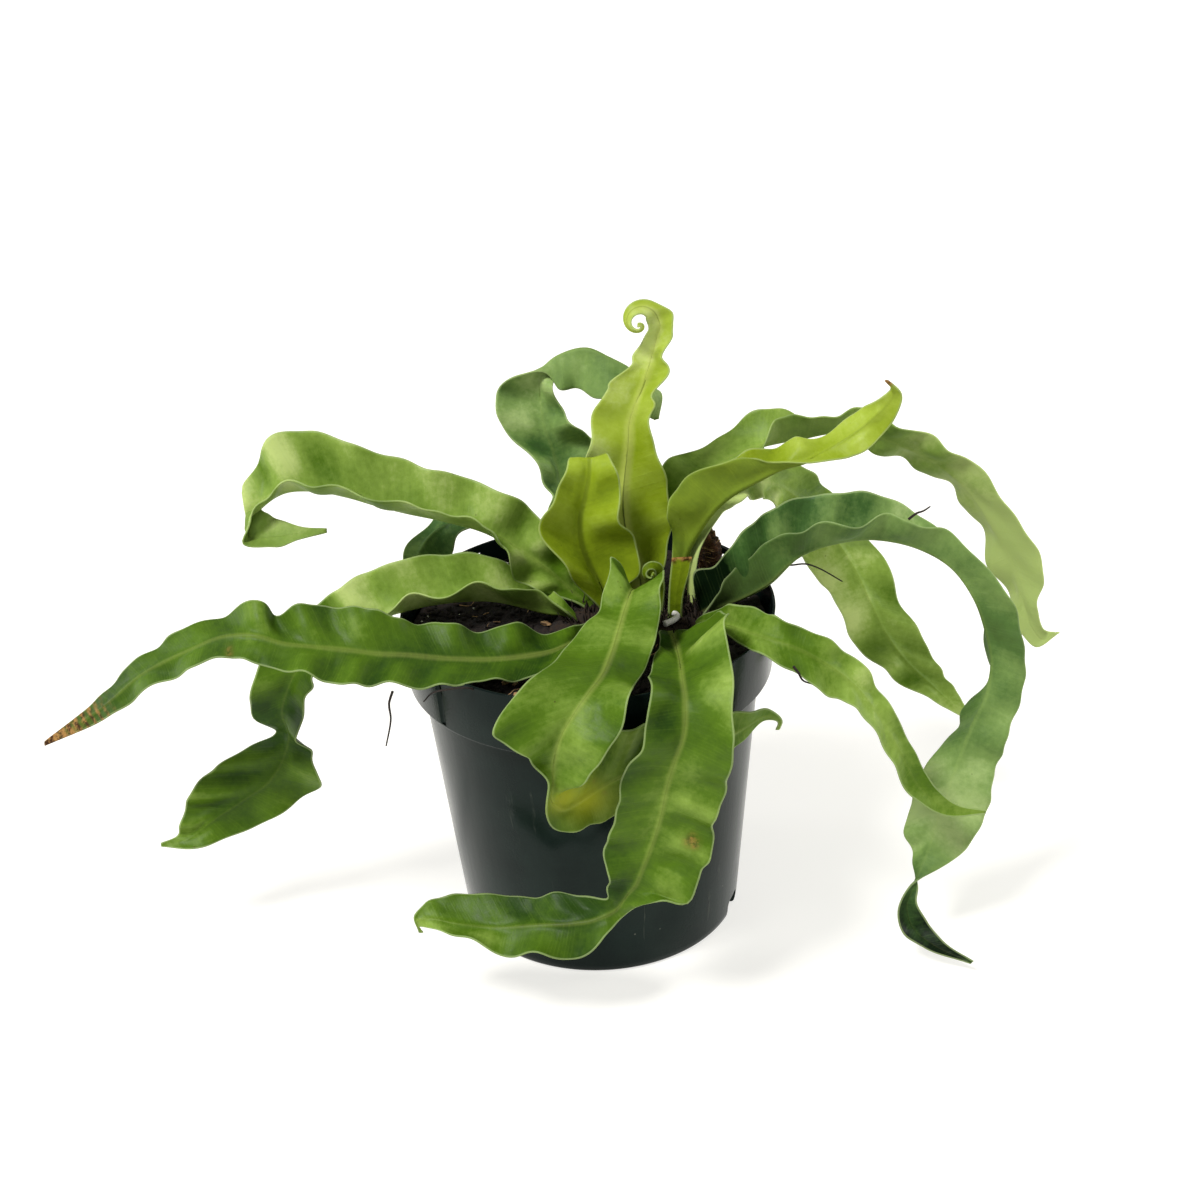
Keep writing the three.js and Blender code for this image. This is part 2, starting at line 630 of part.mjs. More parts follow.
// An upright cylinder or cone whose foot is at the given point.
function upright(topRadius, footRadius, height, [x, y, z]) {
  const shape = new THREE.CylinderGeometry(topRadius, footRadius, height, SMALL_SIDES);
  return shape.rotateX(Math.PI / 2).translate(x, y, z + height / 2);
}

// Angle of copy k of several spaced evenly round the pot.
const around = (k, count, first) => THREE.MathUtils.degToRad((360 / count) * k + first);

// Inner radius of the pot's wall at height z, below the band.
const innerRadius = (z) => mix([POT_BASE_RADIUS, WALL_TOP_RADIUS], z / BAND_FOOT) - WALL;

// A drain notch through the foot of the wall.
function drainSolid(k) {
  const notch = new THREE.BoxGeometry(2 * DRAIN_DEPTH, DRAIN_WIDTH, 2 * DRAIN_HEIGHT);
  notch.translate(POT_BASE_RADIUS, 0, 0);
  return solidOf(notch.rotateZ(around(k, DRAIN_COUNT, DRAIN_ANGLE)));
}

// A shallow upright groove moulded in the band.
function slotSolid(k) {
  const place = [BAND_LOW_RADIUS + SLOT_RADIUS, 0, BAND_FOOT + 1.5];
  const slot = upright(SLOT_RADIUS, SLOT_RADIUS, BAND_HEIGHT - 5, place);
  return solidOf(slot.rotateZ(around(k, SLOT_COUNT, SLOT_ANGLE)));
}

// The pot: a tapered wall, a wider band round the top, drain notches round the foot.
function potSolid() {
  const profile = [
    [0, 0],
    [POT_BASE_RADIUS - 1.5, 0],
    [POT_BASE_RADIUS, 1.5],
    [WALL_TOP_RADIUS, BAND_FOOT],
    [BAND_LOW_RADIUS - 1, BAND_FOOT],
    [BAND_LOW_RADIUS, BAND_FOOT + 1],
    [POT_TOP_RADIUS - 0.2, POT_HEIGHT - 0.8],
    [POT_TOP_RADIUS - 0.6, POT_HEIGHT],
    [POT_TOP_RADIUS - WALL - 0.2, POT_HEIGHT],
    [POT_TOP_RADIUS - WALL - 0.5, POT_HEIGHT - 0.8],
    [BAND_LOW_RADIUS - WALL - 0.5, BAND_FOOT + 2.6],
    [WALL_TOP_RADIUS - WALL, BAND_FOOT + 1.4],
    [innerRadius(FLOOR), FLOOR],
    [0, FLOOR],
  ];
  let pot = solidOf(turned(profile, POT_SIDES));
  for (let k = 0; k < DRAIN_COUNT; k += 1) pot = pot.subtract(drainSolid(k));
  for (let k = 0; k < SLOT_COUNT; k += 1) pot = pot.subtract(slotSolid(k));
  return pot;
}

// Raises the points of a surface that lie above a height by a relief of x and y.
function raise(geometry, from, relief) {
  const p = geometry.getAttribute("position");
  for (let i = 0; i < p.count; i += 1)
    if (p.getZ(i) > from) p.setZ(i, p.getZ(i) + relief(p.getX(i), p.getY(i)));
  return geometry;
}

// Low uneven lumps of the soil, half as high beside the pot's wall.
function soilRelief(x, y) {
  const lumps = 1.3 * Math.sin(x / 9 + 1) * Math.cos(y / 7) + 0.8 * Math.sin(x / 4.3 + y / 5.1);
  return lumps * (1 - 0.5 * ease((Math.hypot(x, y) - 60) / 16));
}

// The root ball: it fills the pot to a little under the rim.
function soilSolid() {
  const rimRadius = BAND_LOW_RADIUS - WALL - 0.5;
  const profile = [
    [0, FLOOR + GAP],
    [innerRadius(FLOOR) - GAP, FLOOR + GAP],
    [WALL_TOP_RADIUS - WALL - GAP, BAND_FOOT + 1.9],
    [rimRadius - GAP, BAND_FOOT + 3.2],
  ];
  for (let i = SOIL_RINGS; i >= 0; i -= 1) profile.push([(rimRadius * i) / SOIL_RINGS, SOIL_TOP]);
  const body = solidOf(raise(turned(profile, SOIL_SIDES), SOIL_TOP - 1, soilRelief));
  return body.subtract(crownMound(GAP)).subtract(clodSolid(GAP));
}

// A lump of fibrous peat that stands in the soil, grown by the given amount all round.
function clodSolid(grow) {
  const lump = new THREE.SphereGeometry(1, ...CLOD_SIDES).rotateX(Math.PI / 2);
  const p = lump.getAttribute("position");
  for (let i = 0; i < p.count; i += 1) {
    const [x, y, z] = [p.getX(i), p.getY(i), p.getZ(i)];
    const k = 1 + 0.12 * Math.sin(5 * x + 4 * z) * Math.cos(6 * y + 2);
    p.setXYZ(i, k * x, k * y, k * z);
  }
  lump.scale(CLOD_HALF[0] + grow, CLOD_HALF[1] + grow, CLOD_HALF[2] + grow);
  return solidOf(lump.translate(...CLOD_PLACE));
}

// The crown that the fronds grow from: a long low mound, grown by the given amount all round.
function crownMound(grow) {
  const profile = [
    [0, CROWN_FOOT - grow],
    [0.95, CROWN_FOOT - grow],
    [1, CROWN_FOOT + 2],
    [1, SOIL_TOP - 2],
    [0.92, SOIL_TOP + 2 + grow],
    [0.7, CROWN_TOP - 1 + grow],
    [0, CROWN_TOP + grow],
  ];
  const halves = [CROWN_LENGTH / 2 + grow, CROWN_BREADTH / 2 + grow];
  const mound = turned(profile, CROWN_SIDES).scale(...halves, 1);
  return solidOf(mound.translate(...CROWN_MIDDLE, 0));
}

// The crown with a plain round socket for each stalk.
function crownSolid() {
  let crown = crownMound(0);
  Object.values(FRONDS).forEach(({ foot: [x, y] }) => {
    const socket = upright(SOCKET_RADIUS, SOCKET_RADIUS, 30, [x, y, CROWN_FOOT + 1.6]);
    const mouth = upright(MOUTH_RADIUS, SOCKET_RADIUS - 1, MOUTH_DEPTH, [x, y, SOIL_TOP - 1.5]);
    crown = crown.subtract(solidOf(socket)).subtract(solidOf(mouth));
  });
  return crown;
}

function material(look) {
  const [color, roughness] = LOOKS[look];
  return new THREE.MeshStandardMaterial({ color, roughness, metalness: 0, name: look });
}

function meshOf(name, geometry, look) {
  const mesh = new THREE.Mesh(geometry, material(look));
  mesh.name = name;
  return mesh;
}

const group = new THREE.Group();
group.name = "potted_fern";
group.add(meshOf("pot", geometryOf(potSolid()), "pot_plastic"));
group.add(meshOf("soil", geometryOf(soilSolid()), "soil"));
group.add(meshOf("peat_clod", geometryOf(clodSolid(0)), "peat"));
group.add(meshOf("crown", geometryOf(crownSolid()), "crown_scales"));
Object.entries(FRONDS).forEach(([name, frond], order) => {
  group.add(meshOf(name, frondGeometry(rowsOf(frond), RIPPLE_SHIFT * order), frond.look));
});

export default group;
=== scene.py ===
# Looks of a potted bird's nest fern: fine waved fronds, crown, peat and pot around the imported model.
# Shapes are worked out in millimetres and made in metres, with +Z up from the middle of the pot's underside.
import random
from dataclasses import dataclass
from math import ceil, cos, hypot, pi, radians, sin, sqrt

import bmesh
import bpy
import numpy as np
from mathutils import Matrix, Vector, noise


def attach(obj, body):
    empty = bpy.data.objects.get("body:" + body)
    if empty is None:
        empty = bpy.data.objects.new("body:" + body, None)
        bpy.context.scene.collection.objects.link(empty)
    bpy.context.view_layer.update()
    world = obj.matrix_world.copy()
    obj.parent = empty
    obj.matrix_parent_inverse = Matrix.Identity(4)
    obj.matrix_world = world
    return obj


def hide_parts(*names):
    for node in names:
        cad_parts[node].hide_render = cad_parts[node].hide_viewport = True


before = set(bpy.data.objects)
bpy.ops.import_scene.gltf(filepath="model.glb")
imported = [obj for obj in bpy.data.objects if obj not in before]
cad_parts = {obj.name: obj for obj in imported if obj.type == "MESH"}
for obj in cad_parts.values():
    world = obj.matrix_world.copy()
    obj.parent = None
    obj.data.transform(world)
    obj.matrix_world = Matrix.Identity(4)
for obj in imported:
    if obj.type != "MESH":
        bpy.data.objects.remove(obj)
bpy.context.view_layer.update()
MM = 0.001
TURN = 2 * pi

# The pot
POT_TOP_RADIUS = 82.5
POT_HEIGHT = 152
POT_BASE_RADIUS = 62.5
BAND_HEIGHT = 28.5
BAND_FOOT = POT_HEIGHT - BAND_HEIGHT
BAND_LOW_RADIUS = 80.5
WALL_TOP_RADIUS = 75
WALL = 1.3
FLOOR = 2
POT_SIDES = 240
DRAIN_COUNT = 3
DRAIN_WIDTH = 13
DRAIN_HEIGHT = 9
DRAIN_DEPTH = 8
DRAIN_ROUND = 3
DRAIN_ANGLE = -20
SLOT_COUNT = 4
SLOT_RADIUS = 2.2
SLOT_DEPTH = 0.7
SLOT_HEIGHT = BAND_HEIGHT - 5
SLOT_FOOT = BAND_FOOT + 1.5
SLOT_ANGLE = 38

# The filling
SOIL_TOP = 142
SOIL_RADIUS = 78.3
SOIL_GAP = 0.4
SOIL_GRID = (260, 90)
CROWN_TOP = 145.5
CROWN_RIM = SOIL_TOP - 3
CROWN_RISE = CROWN_TOP + 3.2 - SOIL_TOP
CROWN_FOOT = SOIL_TOP - 8
CROWN_MIDDLE = (23, 1)
CROWN_HALF = (41, 27)
CROWN_GRID = (160, 46)
CLOD_PLACE = (57, 40, SOIL_TOP + 9.5)
CLOD_HALF = (5, 5, 14)

# The blades, as in the solids, with finer steps
BLADE = 0.8
STALK = 2.2
STALK_LENGTH = 34
STALK_FOOT = 131
STALK_NECK = 144
STALK_HALF = (2, 2.5)
RIB = 1.1
RIPPLE_HEIGHT = 1
RIPPLE_LENGTH = 30
RIPPLE_SHIFT = 1.7
SIDE_SHIFT = 2.2
SCALLOP = 0.02
HOLLOW = 0.1
ROLL_FACING = 0.8
FINE_STEP = 1.4
FEWEST_CUTS = 4
FINE_ACROSS = 34
# How much closer the steps across a blade lie at its midrib
CROWDING = 1.3
KEEL_WIDTH = 1.5
MIDRIB_HEIGHT = 0.25
MIDRIB_WIDTH = 0.9
# The dip on either side of the midrib
DIP_DEPTH = 0.15
DIP_WIDTH = 1.4
DIP_PLACE = 2.4

# Half widths at which the waves of a blade start and reach their full height
NARROW = 3
WIDE = 12

# What the solids leave out: folds, frills and a midrib that stands up or lies low
RIDGE_WIDTH = 2.6
FOLD_HEIGHT = 1.8
FOLD_LENGTH = 24
FOLD_SLANT = 0.4
# How much paler the crests of the folds are painted and how much darker their troughs: painted light and
# painted shade
PAINTED_FOLD_SHADE = 0.13
FOLD_SLIDE = 1.7
SLIDE_LENGTH = 29
MEAN_SWELL = 0.75
FOLD_SWELL = 0.35
SWELL_LENGTH = 17
FRILL_HEIGHT = 0.4
FRILL_LENGTH = 13
FRILL_REACH = 0.3
RIB_HALF = (2.6, 0.8)

# The stations of each frond, from the crown to its tip. Each gives a point of the midrib, then how far the
# left and the right margin lie from it.
TALL_CENTRE = [
    [(24, 14, 157), (-9, -3, 0), (9, -3, 0)],
    [(19, 18, 174), (-14, -9, 3), (19, 0, 3)],
    [(18, 23, 193), (-15, -5, 3), (20, -2, -1)],
    [(20, 26, 205), (-18, -4, 3), (16, -5, 1)],
    [(22, 28, 216), (-17, -4, 3), (10, -6, 2)],
    [(23, 31, 224), (-17, -3, 2), (8, -6, 3)],
    [(26, 33, 232), (-16, -3, 2), (8, -6, 2)],
    [(29, 36, 238), (-15, -2, 2), (4, -6, 0)],
    [(31, 37, 243), (-16, -2, 0), (8, -6, 2)],
    [(33, 39, 248), (-8, -2, 1), (7, -5, 1)],
    [(34, 41, 251), (-8, -2, 1), (4, -5, 1)],
    [(36, 43, 256), (-7, -2, 0), (7, -4, 3)],
    [(37, 43, 260), (-6, -2, 0), (6, -4, 3)],
    [(38, 42, 264), (-5, -2, 0), (5, -3, 2)],
    [(37, 42, 268), (-5, -2, 0), (6, -1, 2)],
]
SHORT_YELLOW = [
    [(7, 4, 157), (-9, -7, 5), (9, -3, 1)],
    [(2, 5, 169), (-12, -10, 6), (21, -4, -2)],
    [(-1, 5, 180), (-17, -7, 8), (23, -4, 2)],
    [(-1, 5, 192), (-15, -8, 6), (17, -6, 1)],
    [(2, 5, 204), (-12, -5, 4), (14, -6, 1)],
    [(4, 7, 213), (-10, -3, 3), (11, -3, 2)],
    [(4, 11, 218), (-8, 0, 0), (8, 0, 0)],
    [(4, 14, 213), (-6, 0, 0), (6, 0, 0)],
    [(4, 13, 204), (-1, 0, 0), (1, 0, 0)],
]
BACK_LEFT = [
    [(5, 24, 156), (-8, -4, 0), (8, -2, 0)],
    [(-3, 38, 170), (-11, -4, 6), (13, 9, 2)],
    [(-9, 49, 187), (-6, -9, 5), (18, 5, 3)],
    [(-12, 56, 202), (-11, -8, 4), (19, 3, 2)],
    [(-15, 60, 213), (-19, -4, 2), (14, -6, 1)],
    [(-16, 64, 226), (-18, -5, 4), (8, -6, -2)],
    [(-15, 66, 235), (-11, -6, 3), (5, -6, -2)],
    [(-11, 67, 240), (-3, -5, -2), (3, 5, -6)],
    [(-3, 68, 244), (-4, -9, -14), (2, 9, -14)],
    [(6, 66, 246), (-6, -6, -16), (1, 7, -23)],
    [(15, 62, 243), (-7, -11, -13), (2, 6, -24)],
    [(27, 56, 237), (-5, -11, -9), (2, 9, -12)],
    [(35, 50, 227), (-4, -4, -6), (3, 3, 0)],
    [(35, 48, 218), (-0.8, 0, 0), (0.8, 0, 0)],
]
LEFT_HIGH = [
    [(-5, 14, 150), (-3, -5, 1), (2, 5, 2)],
    [(-14, 15, 160), (-9, -7, -3), (8, 5, 0)],
    [(-28, 15, 173), (-5, -13, 0), (14, 4, 5)],
    [(-42, 15, 183), (3, -14, 8), (15, 6, 11)],
    [(-60, 17, 189), (3, -14, 9), (9, 8, 16)],
    [(-77, 19, 193), (3, -15, 10), (8, 9, 17)],
    [(-90, 20, 197), (2, -15, 10), (6, 9, 19)],
    [(-103, 22, 201), (2, -15, 9), (3, 10, 20)],
    [(-117, 23, 204), (3, -14, 9), (0, 10, 24)],
    [(-130, 24, 203), (3, -11, 10), (-3, 10, 22)],
    [(-141, 24, 196), (5, -6, 9), (-1, 9, 18)],
    [(-148, 23, 188), (4, -5, 5), (1, 7, 12)],
    [(-147, 20, 184), (-2, -5, 1), (6, 5, 12)],
    [(-137, 19, 184), (1, -5, -2), (1, 6, 7)],
    [(-125, 17, 186), (1, -3, -1), (1, 3, 2)],
    [(-112, 17, 187), (0, 0, -0.7), (0, 0, 0.7)],
]
LEFT_MID = [
    [(-9, 1, 148), (0, -5, 3), (0, 5, 2)],
    [(-18, 2, 149), (0, -5, 9), (5, 8, 3)],
    [(-28, 3, 152), (1, -7, 13), (4, 13, 6)],
    [(-40, 4, 155), (1, -10, 11), (2, 8, 16)],
    [(-54, 4, 156), (1, -10, 11), (1, 9, 18)],
    [(-68, 4, 155), (1, -11, 10), (0, 9, 19)],
    [(-83, 2, 153), (2, -10, 9), (-3, 9, 19)],
    [(-101, 0, 149), (0, -14, 8), (-3, 9, 16)],
    [(-116, -2, 143), (0, -15, 2), (-3, 8, 13)],
    [(-126, -3, 134), (6, -13, -1), (-13, 2, 8)],
    [(-134, -4, 121), (9, -10, 1), (-16, -1, 1)],
    [(-138, -5, 108), (9, -11, 3), (-14, 4, -4)],
    [(-136, -6, 99), (7, -12, 3), (-6, 6, -2)],
    [(-139, -6, 88), (11, -8, 3), (-16, 3, 3)],
    [(-147, -8, 76), (23, 0, -2), (-24, 0, 8)],
    [(-160, -9, 67), (22, 1, -5), (-22, -1, 7)],
    [(-175, -11, 58), (13, -1, -6), (-13, -1, 3)],
    [(-188, -14, 50), (4, -4, -2), (-4, 2, 1)],
    [(-199, -15, 49), (0, 0, -0.7), (0, 0, 0.7)],
]
LEFT_LOW = [
    [(-7, -24, 147), (-3, -6, -1), (0, 8, 3)],
    [(-18, -35, 149), (0, -14, -1), (0, 12, 3)],
    [(-30, -40, 150), (0, -15, -1), (0, 12, 10)],
    [(-44, -44, 152), (1, -17, -1), (0, 13, 7)],
    [(-59, -47, 155), (1, -17, -2), (0, 14, 9)],
    [(-76, -49, 159), (1, -17, -6), (-1, 14, 9)],
    [(-89, -50, 161), (1, -17, -3), (0, 11, 15)],
    [(-103, -50, 164), (1, -17, -8), (-1, 14, 13)],
    [(-116, -50, 166), (2, -17, -3), (-2, 14, 12)],
    [(-128, -49, 168), (2, -14, -5), (-2, 13, 8)],
    [(-138, -47, 171), (1, -10, -8), (2, 12, 9)],
    [(-150, -44, 170), (2, -11, -3), (0, 13, 5)],
    [(-168, -40, 162), (3, -10, -3), (-3, 11, 4)],
    [(-190, -35, 149), (5, -7, -2), (-3, 8, 3)],
    [(-212, -30, 130), (3, -4, -2), (-3, 5, 1)],
    [(-240, -24, 111), (0, 0, -0.7), (0, 0, 0.7)],
]
LEFT_BEHIND = [
    [(-4, 30, 153), (-2, -5, 1), (2, 6, 2)],
    [(-24, 40, 166), (0, -8, -2), (2, 9, 6)],
    [(-42, 47, 173), (0, -7, 1), (0, 9, 6)],
    [(-57, 48, 173), (2, -6, -2), (0, 10, 4)],
    [(-68, 45, 169), (8, -5, -7), (-1, 9, 1)],
    [(-74, 41, 163), (9, -4, -9), (-6, 5, 1)],
    [(-78, 39, 156), (2, -2, -4), (-4, 1, 2)],
    [(-80, 38, 150), (0.8, 0, 0), (-0.8, 0, 0)],
]
FRONT_LEFT = [
    [(24, -15, 157), (6, 3, 2), (-5, 2, 2)],
    [(19, -26, 171), (13, 5, 8), (-7, 7, 14)],
    [(16, -36, 169), (16, 4, 7), (-8, 10, 5)],
    [(13, -47, 166), (17, 6, 5), (-9, 10, 2)],
    [(9, -63, 163), (17, 6, -3), (-17, 10, 0)],
    [(4, -79, 161), (15, 5, -5), (-24, -8, 8)],
    [(-2, -90, 159), (17, -7, 2), (-30, -8, 5)],
    [(-8, -96, 154), (20, -9, 2), (-32, -14, 3)],
    [(-13, -99, 147), (20, -11, 2), (-21, -11, 3)],
    [(-17, -100, 135), (17, -7, 1), (-7, -8, 4)],
    [(-18, -100, 126), (13, -8, 3), (-2, -5, 3)],
    [(-19, -97, 114), (8, -2, 9), (-2, -3, -4)],
    [(-14, -92, 107), (2, -2, 17), (-3, -2, -9)],
    [(-3, -88, 111), (2, -1, 21), (-3, 0, -16)],
    [(12, -87, 119), (2, -1, 23), (-2, 0, -19)],
    [(30, -83, 121), (1, -2, 19), (-1, 0, -18)],
    [(48, -75, 123), (1, -2, 14), (-1, 0, -13)],
    [(62, -66, 125), (1, -1, 8), (-1, 0, -7)],
    [(73, -57, 125), (1, 0, 3), (-1, 0, -2)],
    [(79, -53, 119), (0.7, 0, 0.2), (-0.7, 0, -0.2)],
    [(78, -52, 115), (0.6, 0, 0), (-0.6, 0, 0)],
]
FRONT_RIGHT = [
    [(36, -28, 148), (8, 2, 3), (-6, 2, 3)],
    [(37, -50, 152), (19, 8, 16), (-7, 9, 1)],
    [(37, -76, 156), (19, 8, 16), (-12, 10, 1)],
    [(37, -92, 153), (19, -2, 8), (-15, -3, 8)],
    [(36, -98, 144), (19, -9, 5), (-14, -7, 9)],
    [(32, -99, 132), (22, -10, 3), (-14, -5, 10)],
    [(28, -98, 118), (23, -6, 0), (-18, -4, 8)],
    [(25, -98, 104), (22, -3, -1), (-17, -3, 6)],
    [(21, -97, 90), (24, -4, -3), (-18, 0, 5)],
    [(16, -97, 76), (23, -7, -1), (-14, -1, 4)],
    [(14, -97, 71), (21, -7, -5), (-11, -2, 5)],
    [(11, -96, 66), (12, -11, 3), (-9, -2, 5)],
    [(4, -96, 57), (4, 1, -3), (-3, 1, 6)],
    [(-4, -96, 53), (3, -8, -4), (-4, 8, 7)],
    [(-13, -95, 51), (2, -9, -11), (-4, 11, 8)],
    [(-28, -92, 49), (0, -12, -6), (-2, 12, 6)],
    [(-47, -88, 46), (1, -11, -5), (-2, 12, 9)],
    [(-64, -85, 47), (2, -8, 0), (-2, 11, 7)],
    [(-75, -82, 48), (2, -4, -2), (-1, 7, 3)],
    [(-80, -81, 47), (1, 0, -3), (-1, 1, 2)],
    [(-79, -80, 40), (0.7, 0, 0), (-0.7, 0, 0)],
]
RIGHT_LOW = [
    [(53, -22, 152), (1, 5, 3), (-1, -5, 2)],
    [(63, -36, 156), (2, 6, 8), (-1, -7, -2)],
    [(73, -47, 157), (2, 9, 7), (-2, -9, -3)],
    [(85, -53, 155), (-1, 8, 7), (-1, -7, -7)],
    [(98, -56, 148), (3, 7, 7), (-2, -6, -10)],
    [(109, -58, 139), (4, 7, 5), (-2, -6, -6)],
    [(119, -60, 125), (4, 4, 5), (-2, -6, -4)],
    [(129, -61, 106), (5, 4, 1), (-4, -4, -2)],
    [(138, -61, 87), (6, 2, 0), (-4, -4, -1)],
    [(152, -60, 75), (3, 1, 1), (-2, -2, -2)],
    [(167, -59, 72), (0, 0, 0.7), (0, 0, -0.7)],
]
RIGHT_ARCH = [
    [(56, 0, 148), (-9, 6, 11), (-1, -3, 4)],
    [(67, 0, 151), (-11, 7, 13), (-7, 0, 9)],
    [(79, 0, 157), (-12, 10, 18), (-9, 5, 10)],
    [(93, 1, 170), (-10, 10, 19), (-6, -3, 13)],
    [(110, 1, 176), (-3, 9, 19), (-2, -9, 12)],
    [(127, 0, 177), (1, 8, 17), (0, -7, 13)],
    [(144, -4, 174), (3, 12, 9), (-1, -5, 14)],
    [(158, -8, 166), (4, 12, 0), (1, -2, 14)],
    [(168, -13, 152), (4, 13, -3), (11, -7, 8)],
    [(173, -17, 137), (3, 13, -6), (13, -6, 4)],
    [(175, -21, 124), (2, 8, -9), (13, -7, 4)],
    [(173, -25, 112), (-5, 8, -8), (14, -3, 1)],
    [(166, -30, 98), (-5, 11, -6), (15, -4, -1)],
    [(157, -36, 77), (-13, 8, -5), (17, -3, 0)],
    [(149, -43, 56), (-12, 7, -4), (18, -4, -1)],
    [(144, -48, 43), (-6, 4, -3), (11, -3, -1)],
    [(137, -55, 31), (2, 0, 0), (-2, -1, 1)],
    [(134, -58, 24), (4, -1, 2), (-4, -3, 1)],
    [(136, -63, 15), (6, 1, 3), (-4, -5, 1)],
    [(144, -69, 10), (4, 0, 2), (-4, -2, 0)],
    [(160, -78, 6), (0.5, 0, 0.5), (-0.5, 0, -0.5)],
]
RIGHT_UPPER = [
    [(41, 9, 156), (-1, 6, 3), (-3, -5, 3)],
    [(45, 11, 170), (-2, 6, 3), (-6, 2, 8)],
    [(50, 12, 179), (-2, 9, 8), (-13, -4, 10)],
    [(57, 12, 189), (-3, 11, 9), (-18, -3, 9)],
    [(65, 12, 196), (-2, 9, 11), (-19, 0, 9)],
    [(75, 13, 201), (-2, 10, 9), (-15, -2, 11)],
    [(87, 15, 206), (-2, 11, 6), (-12, -4, 7)],
    [(98, 17, 208), (-5, 10, 6), (-13, -6, 2)],
    [(108, 19, 212), (-7, 8, 1), (0, -6, -2)],
    [(120, 20, 219), (-3, 8, 3), (2, -4, -8)],
    [(128, 20, 226), (-3, 6, 2), (4, -3, -6)],
    [(134, 18, 233), (-3, 1, 2), (4, -2, -2)],
    [(136, 16, 239), (-1.5, 1, 0.5), (2.5, -1.5, -1)],
    [(132, 13, 245), (-0.6, 0, 0), (0.6, 0, 0)],
]
RIGHT_LONG = [
    [(46, 23, 157), (-4, 5, 2), (2, -4, 1)],
    [(48, 34, 174), (-10, 5, 8), (3, -6, 3)],
    [(54, 43, 188), (-16, 5, 9), (4, -13, 2)],
    [(64, 50, 194), (-15, 8, 2), (3, -15, 1)],
    [(75, 54, 198), (-10, 12, 2), (2, -14, 1)],
    [(88, 56, 200), (-6, 12, 11), (-3, -10, 11)],
    [(101, 58, 201), (-1, 15, 5), (-5, -5, 13)],
    [(114, 58, 203), (0, 14, -3), (-3, -9, 11)],
    [(126, 58, 203), (-3, 10, -9), (-1, -5, 13)],
    [(140, 55, 199), (-6, 8, -9), (2, -7, 11)],
    [(158, 52, 190), (-6, 10, -7), (4, -8, 10)],
    [(174, 47, 177), (-5, 11, -5), (5, -7, 11)],
    [(186, 41, 159), (-6, 12, -2), (9, -10, 7)],
    [(195, 36, 142), (-8, 11, -4), (11, -11, 3)],
    [(200, 31, 124), (-5, 7, -5), (4, -7, 2)],
    [(204, 28, 112), (-5, 2, -3), (3, -3, 2)],
    [(208, 27, 107), (-3, -1, -3), (2, 0, 4)],
    [(214, 24, 112), (0.6, 0, 0), (-0.6, 0, 0)],
]
RIGHT_BACK = [
    [(49, 15, 171), (-2, 4, 1), (2, -4, 1)],
    [(59, 28, 183), (-2, 6, 1), (3, -6, 0)],
    [(70, 46, 184), (-3, 9, 1), (3, -10, -2)],
    [(83, 63, 178), (5, 10, 4), (-2, -12, -3)],
    [(95, 76, 167), (9, 11, 6), (-7, -12, -1)],
    [(106, 80, 155), (9, 11, 6), (-10, -9, -5)],
    [(116, 79, 142), (9, 12, 7), (-15, -9, -4)],
    [(127, 75, 125), (14, 8, 2), (-17, -1, -5)],
    [(134, 67, 110), (14, 4, 0), (-16, 1, 1)],
    [(141, 59, 96), (16, 3, -2), (-17, 0, 0)],
    [(150, 53, 84), (14, 2, -2), (-15, -3, 1)],
    [(162, 47, 73), (9, 2, -1), (-10, -3, 1)],
    [(179, 40, 58), (0.6, 0, 0.4), (-0.6, 0, -0.4)],
]
CROZIER = [
    [(31, 1, 152), (-2.4, 0, 0), (2.4, 0, 0)],
    [(32, 2, 160), (-2, 0, 0), (2, 0, 0)],
]
CUT_STALK = [
    [(39, -4, 158), (-3, 0, 0), (3, 0, 0)],
    [(41, -4, 168), (-4, 0, 0), (4, 0, 1)],
    [(42, -4, 175), (-4, 0, 0), (4, 0, 0)],
]


@dataclass
class Frond:
    """A frond: its stations, where it stands in the crown, and what sets it apart from the others."""

    look: str
    stations: list
    foot: tuple
    # The way from the foot to its left margin
    side: tuple
    # How pale it is, at even steps from foot to tip: its own colour with painted shade and painted light in
    # it, darker deep in the crown and in the shade of other fronds, paler where light falls on it
    tone: tuple
    # How much paler its right half is than its middle, or below 0 how much darker: painted light on one half
    # of the blade and painted shade on the other
    lean: float = 0
    # How pale its midrib is, or below 0 how dark: a dark midrib is painted shade in its groove
    rib: float = 0.3
    # How far its midrib stands up, or below 0 how low it lies
    ridge: float = 0
    # How strong its folds are
    fold: float = 1
    # The share of its length that has dried at the tip
    dry: float = 0
    # Patches of painted light in yellow, and brown marks, each a place and a radius
    yellow: tuple = ()
    brown: tuple = ()
    # The spiral that its tip rolls up in
    roll: dict = None
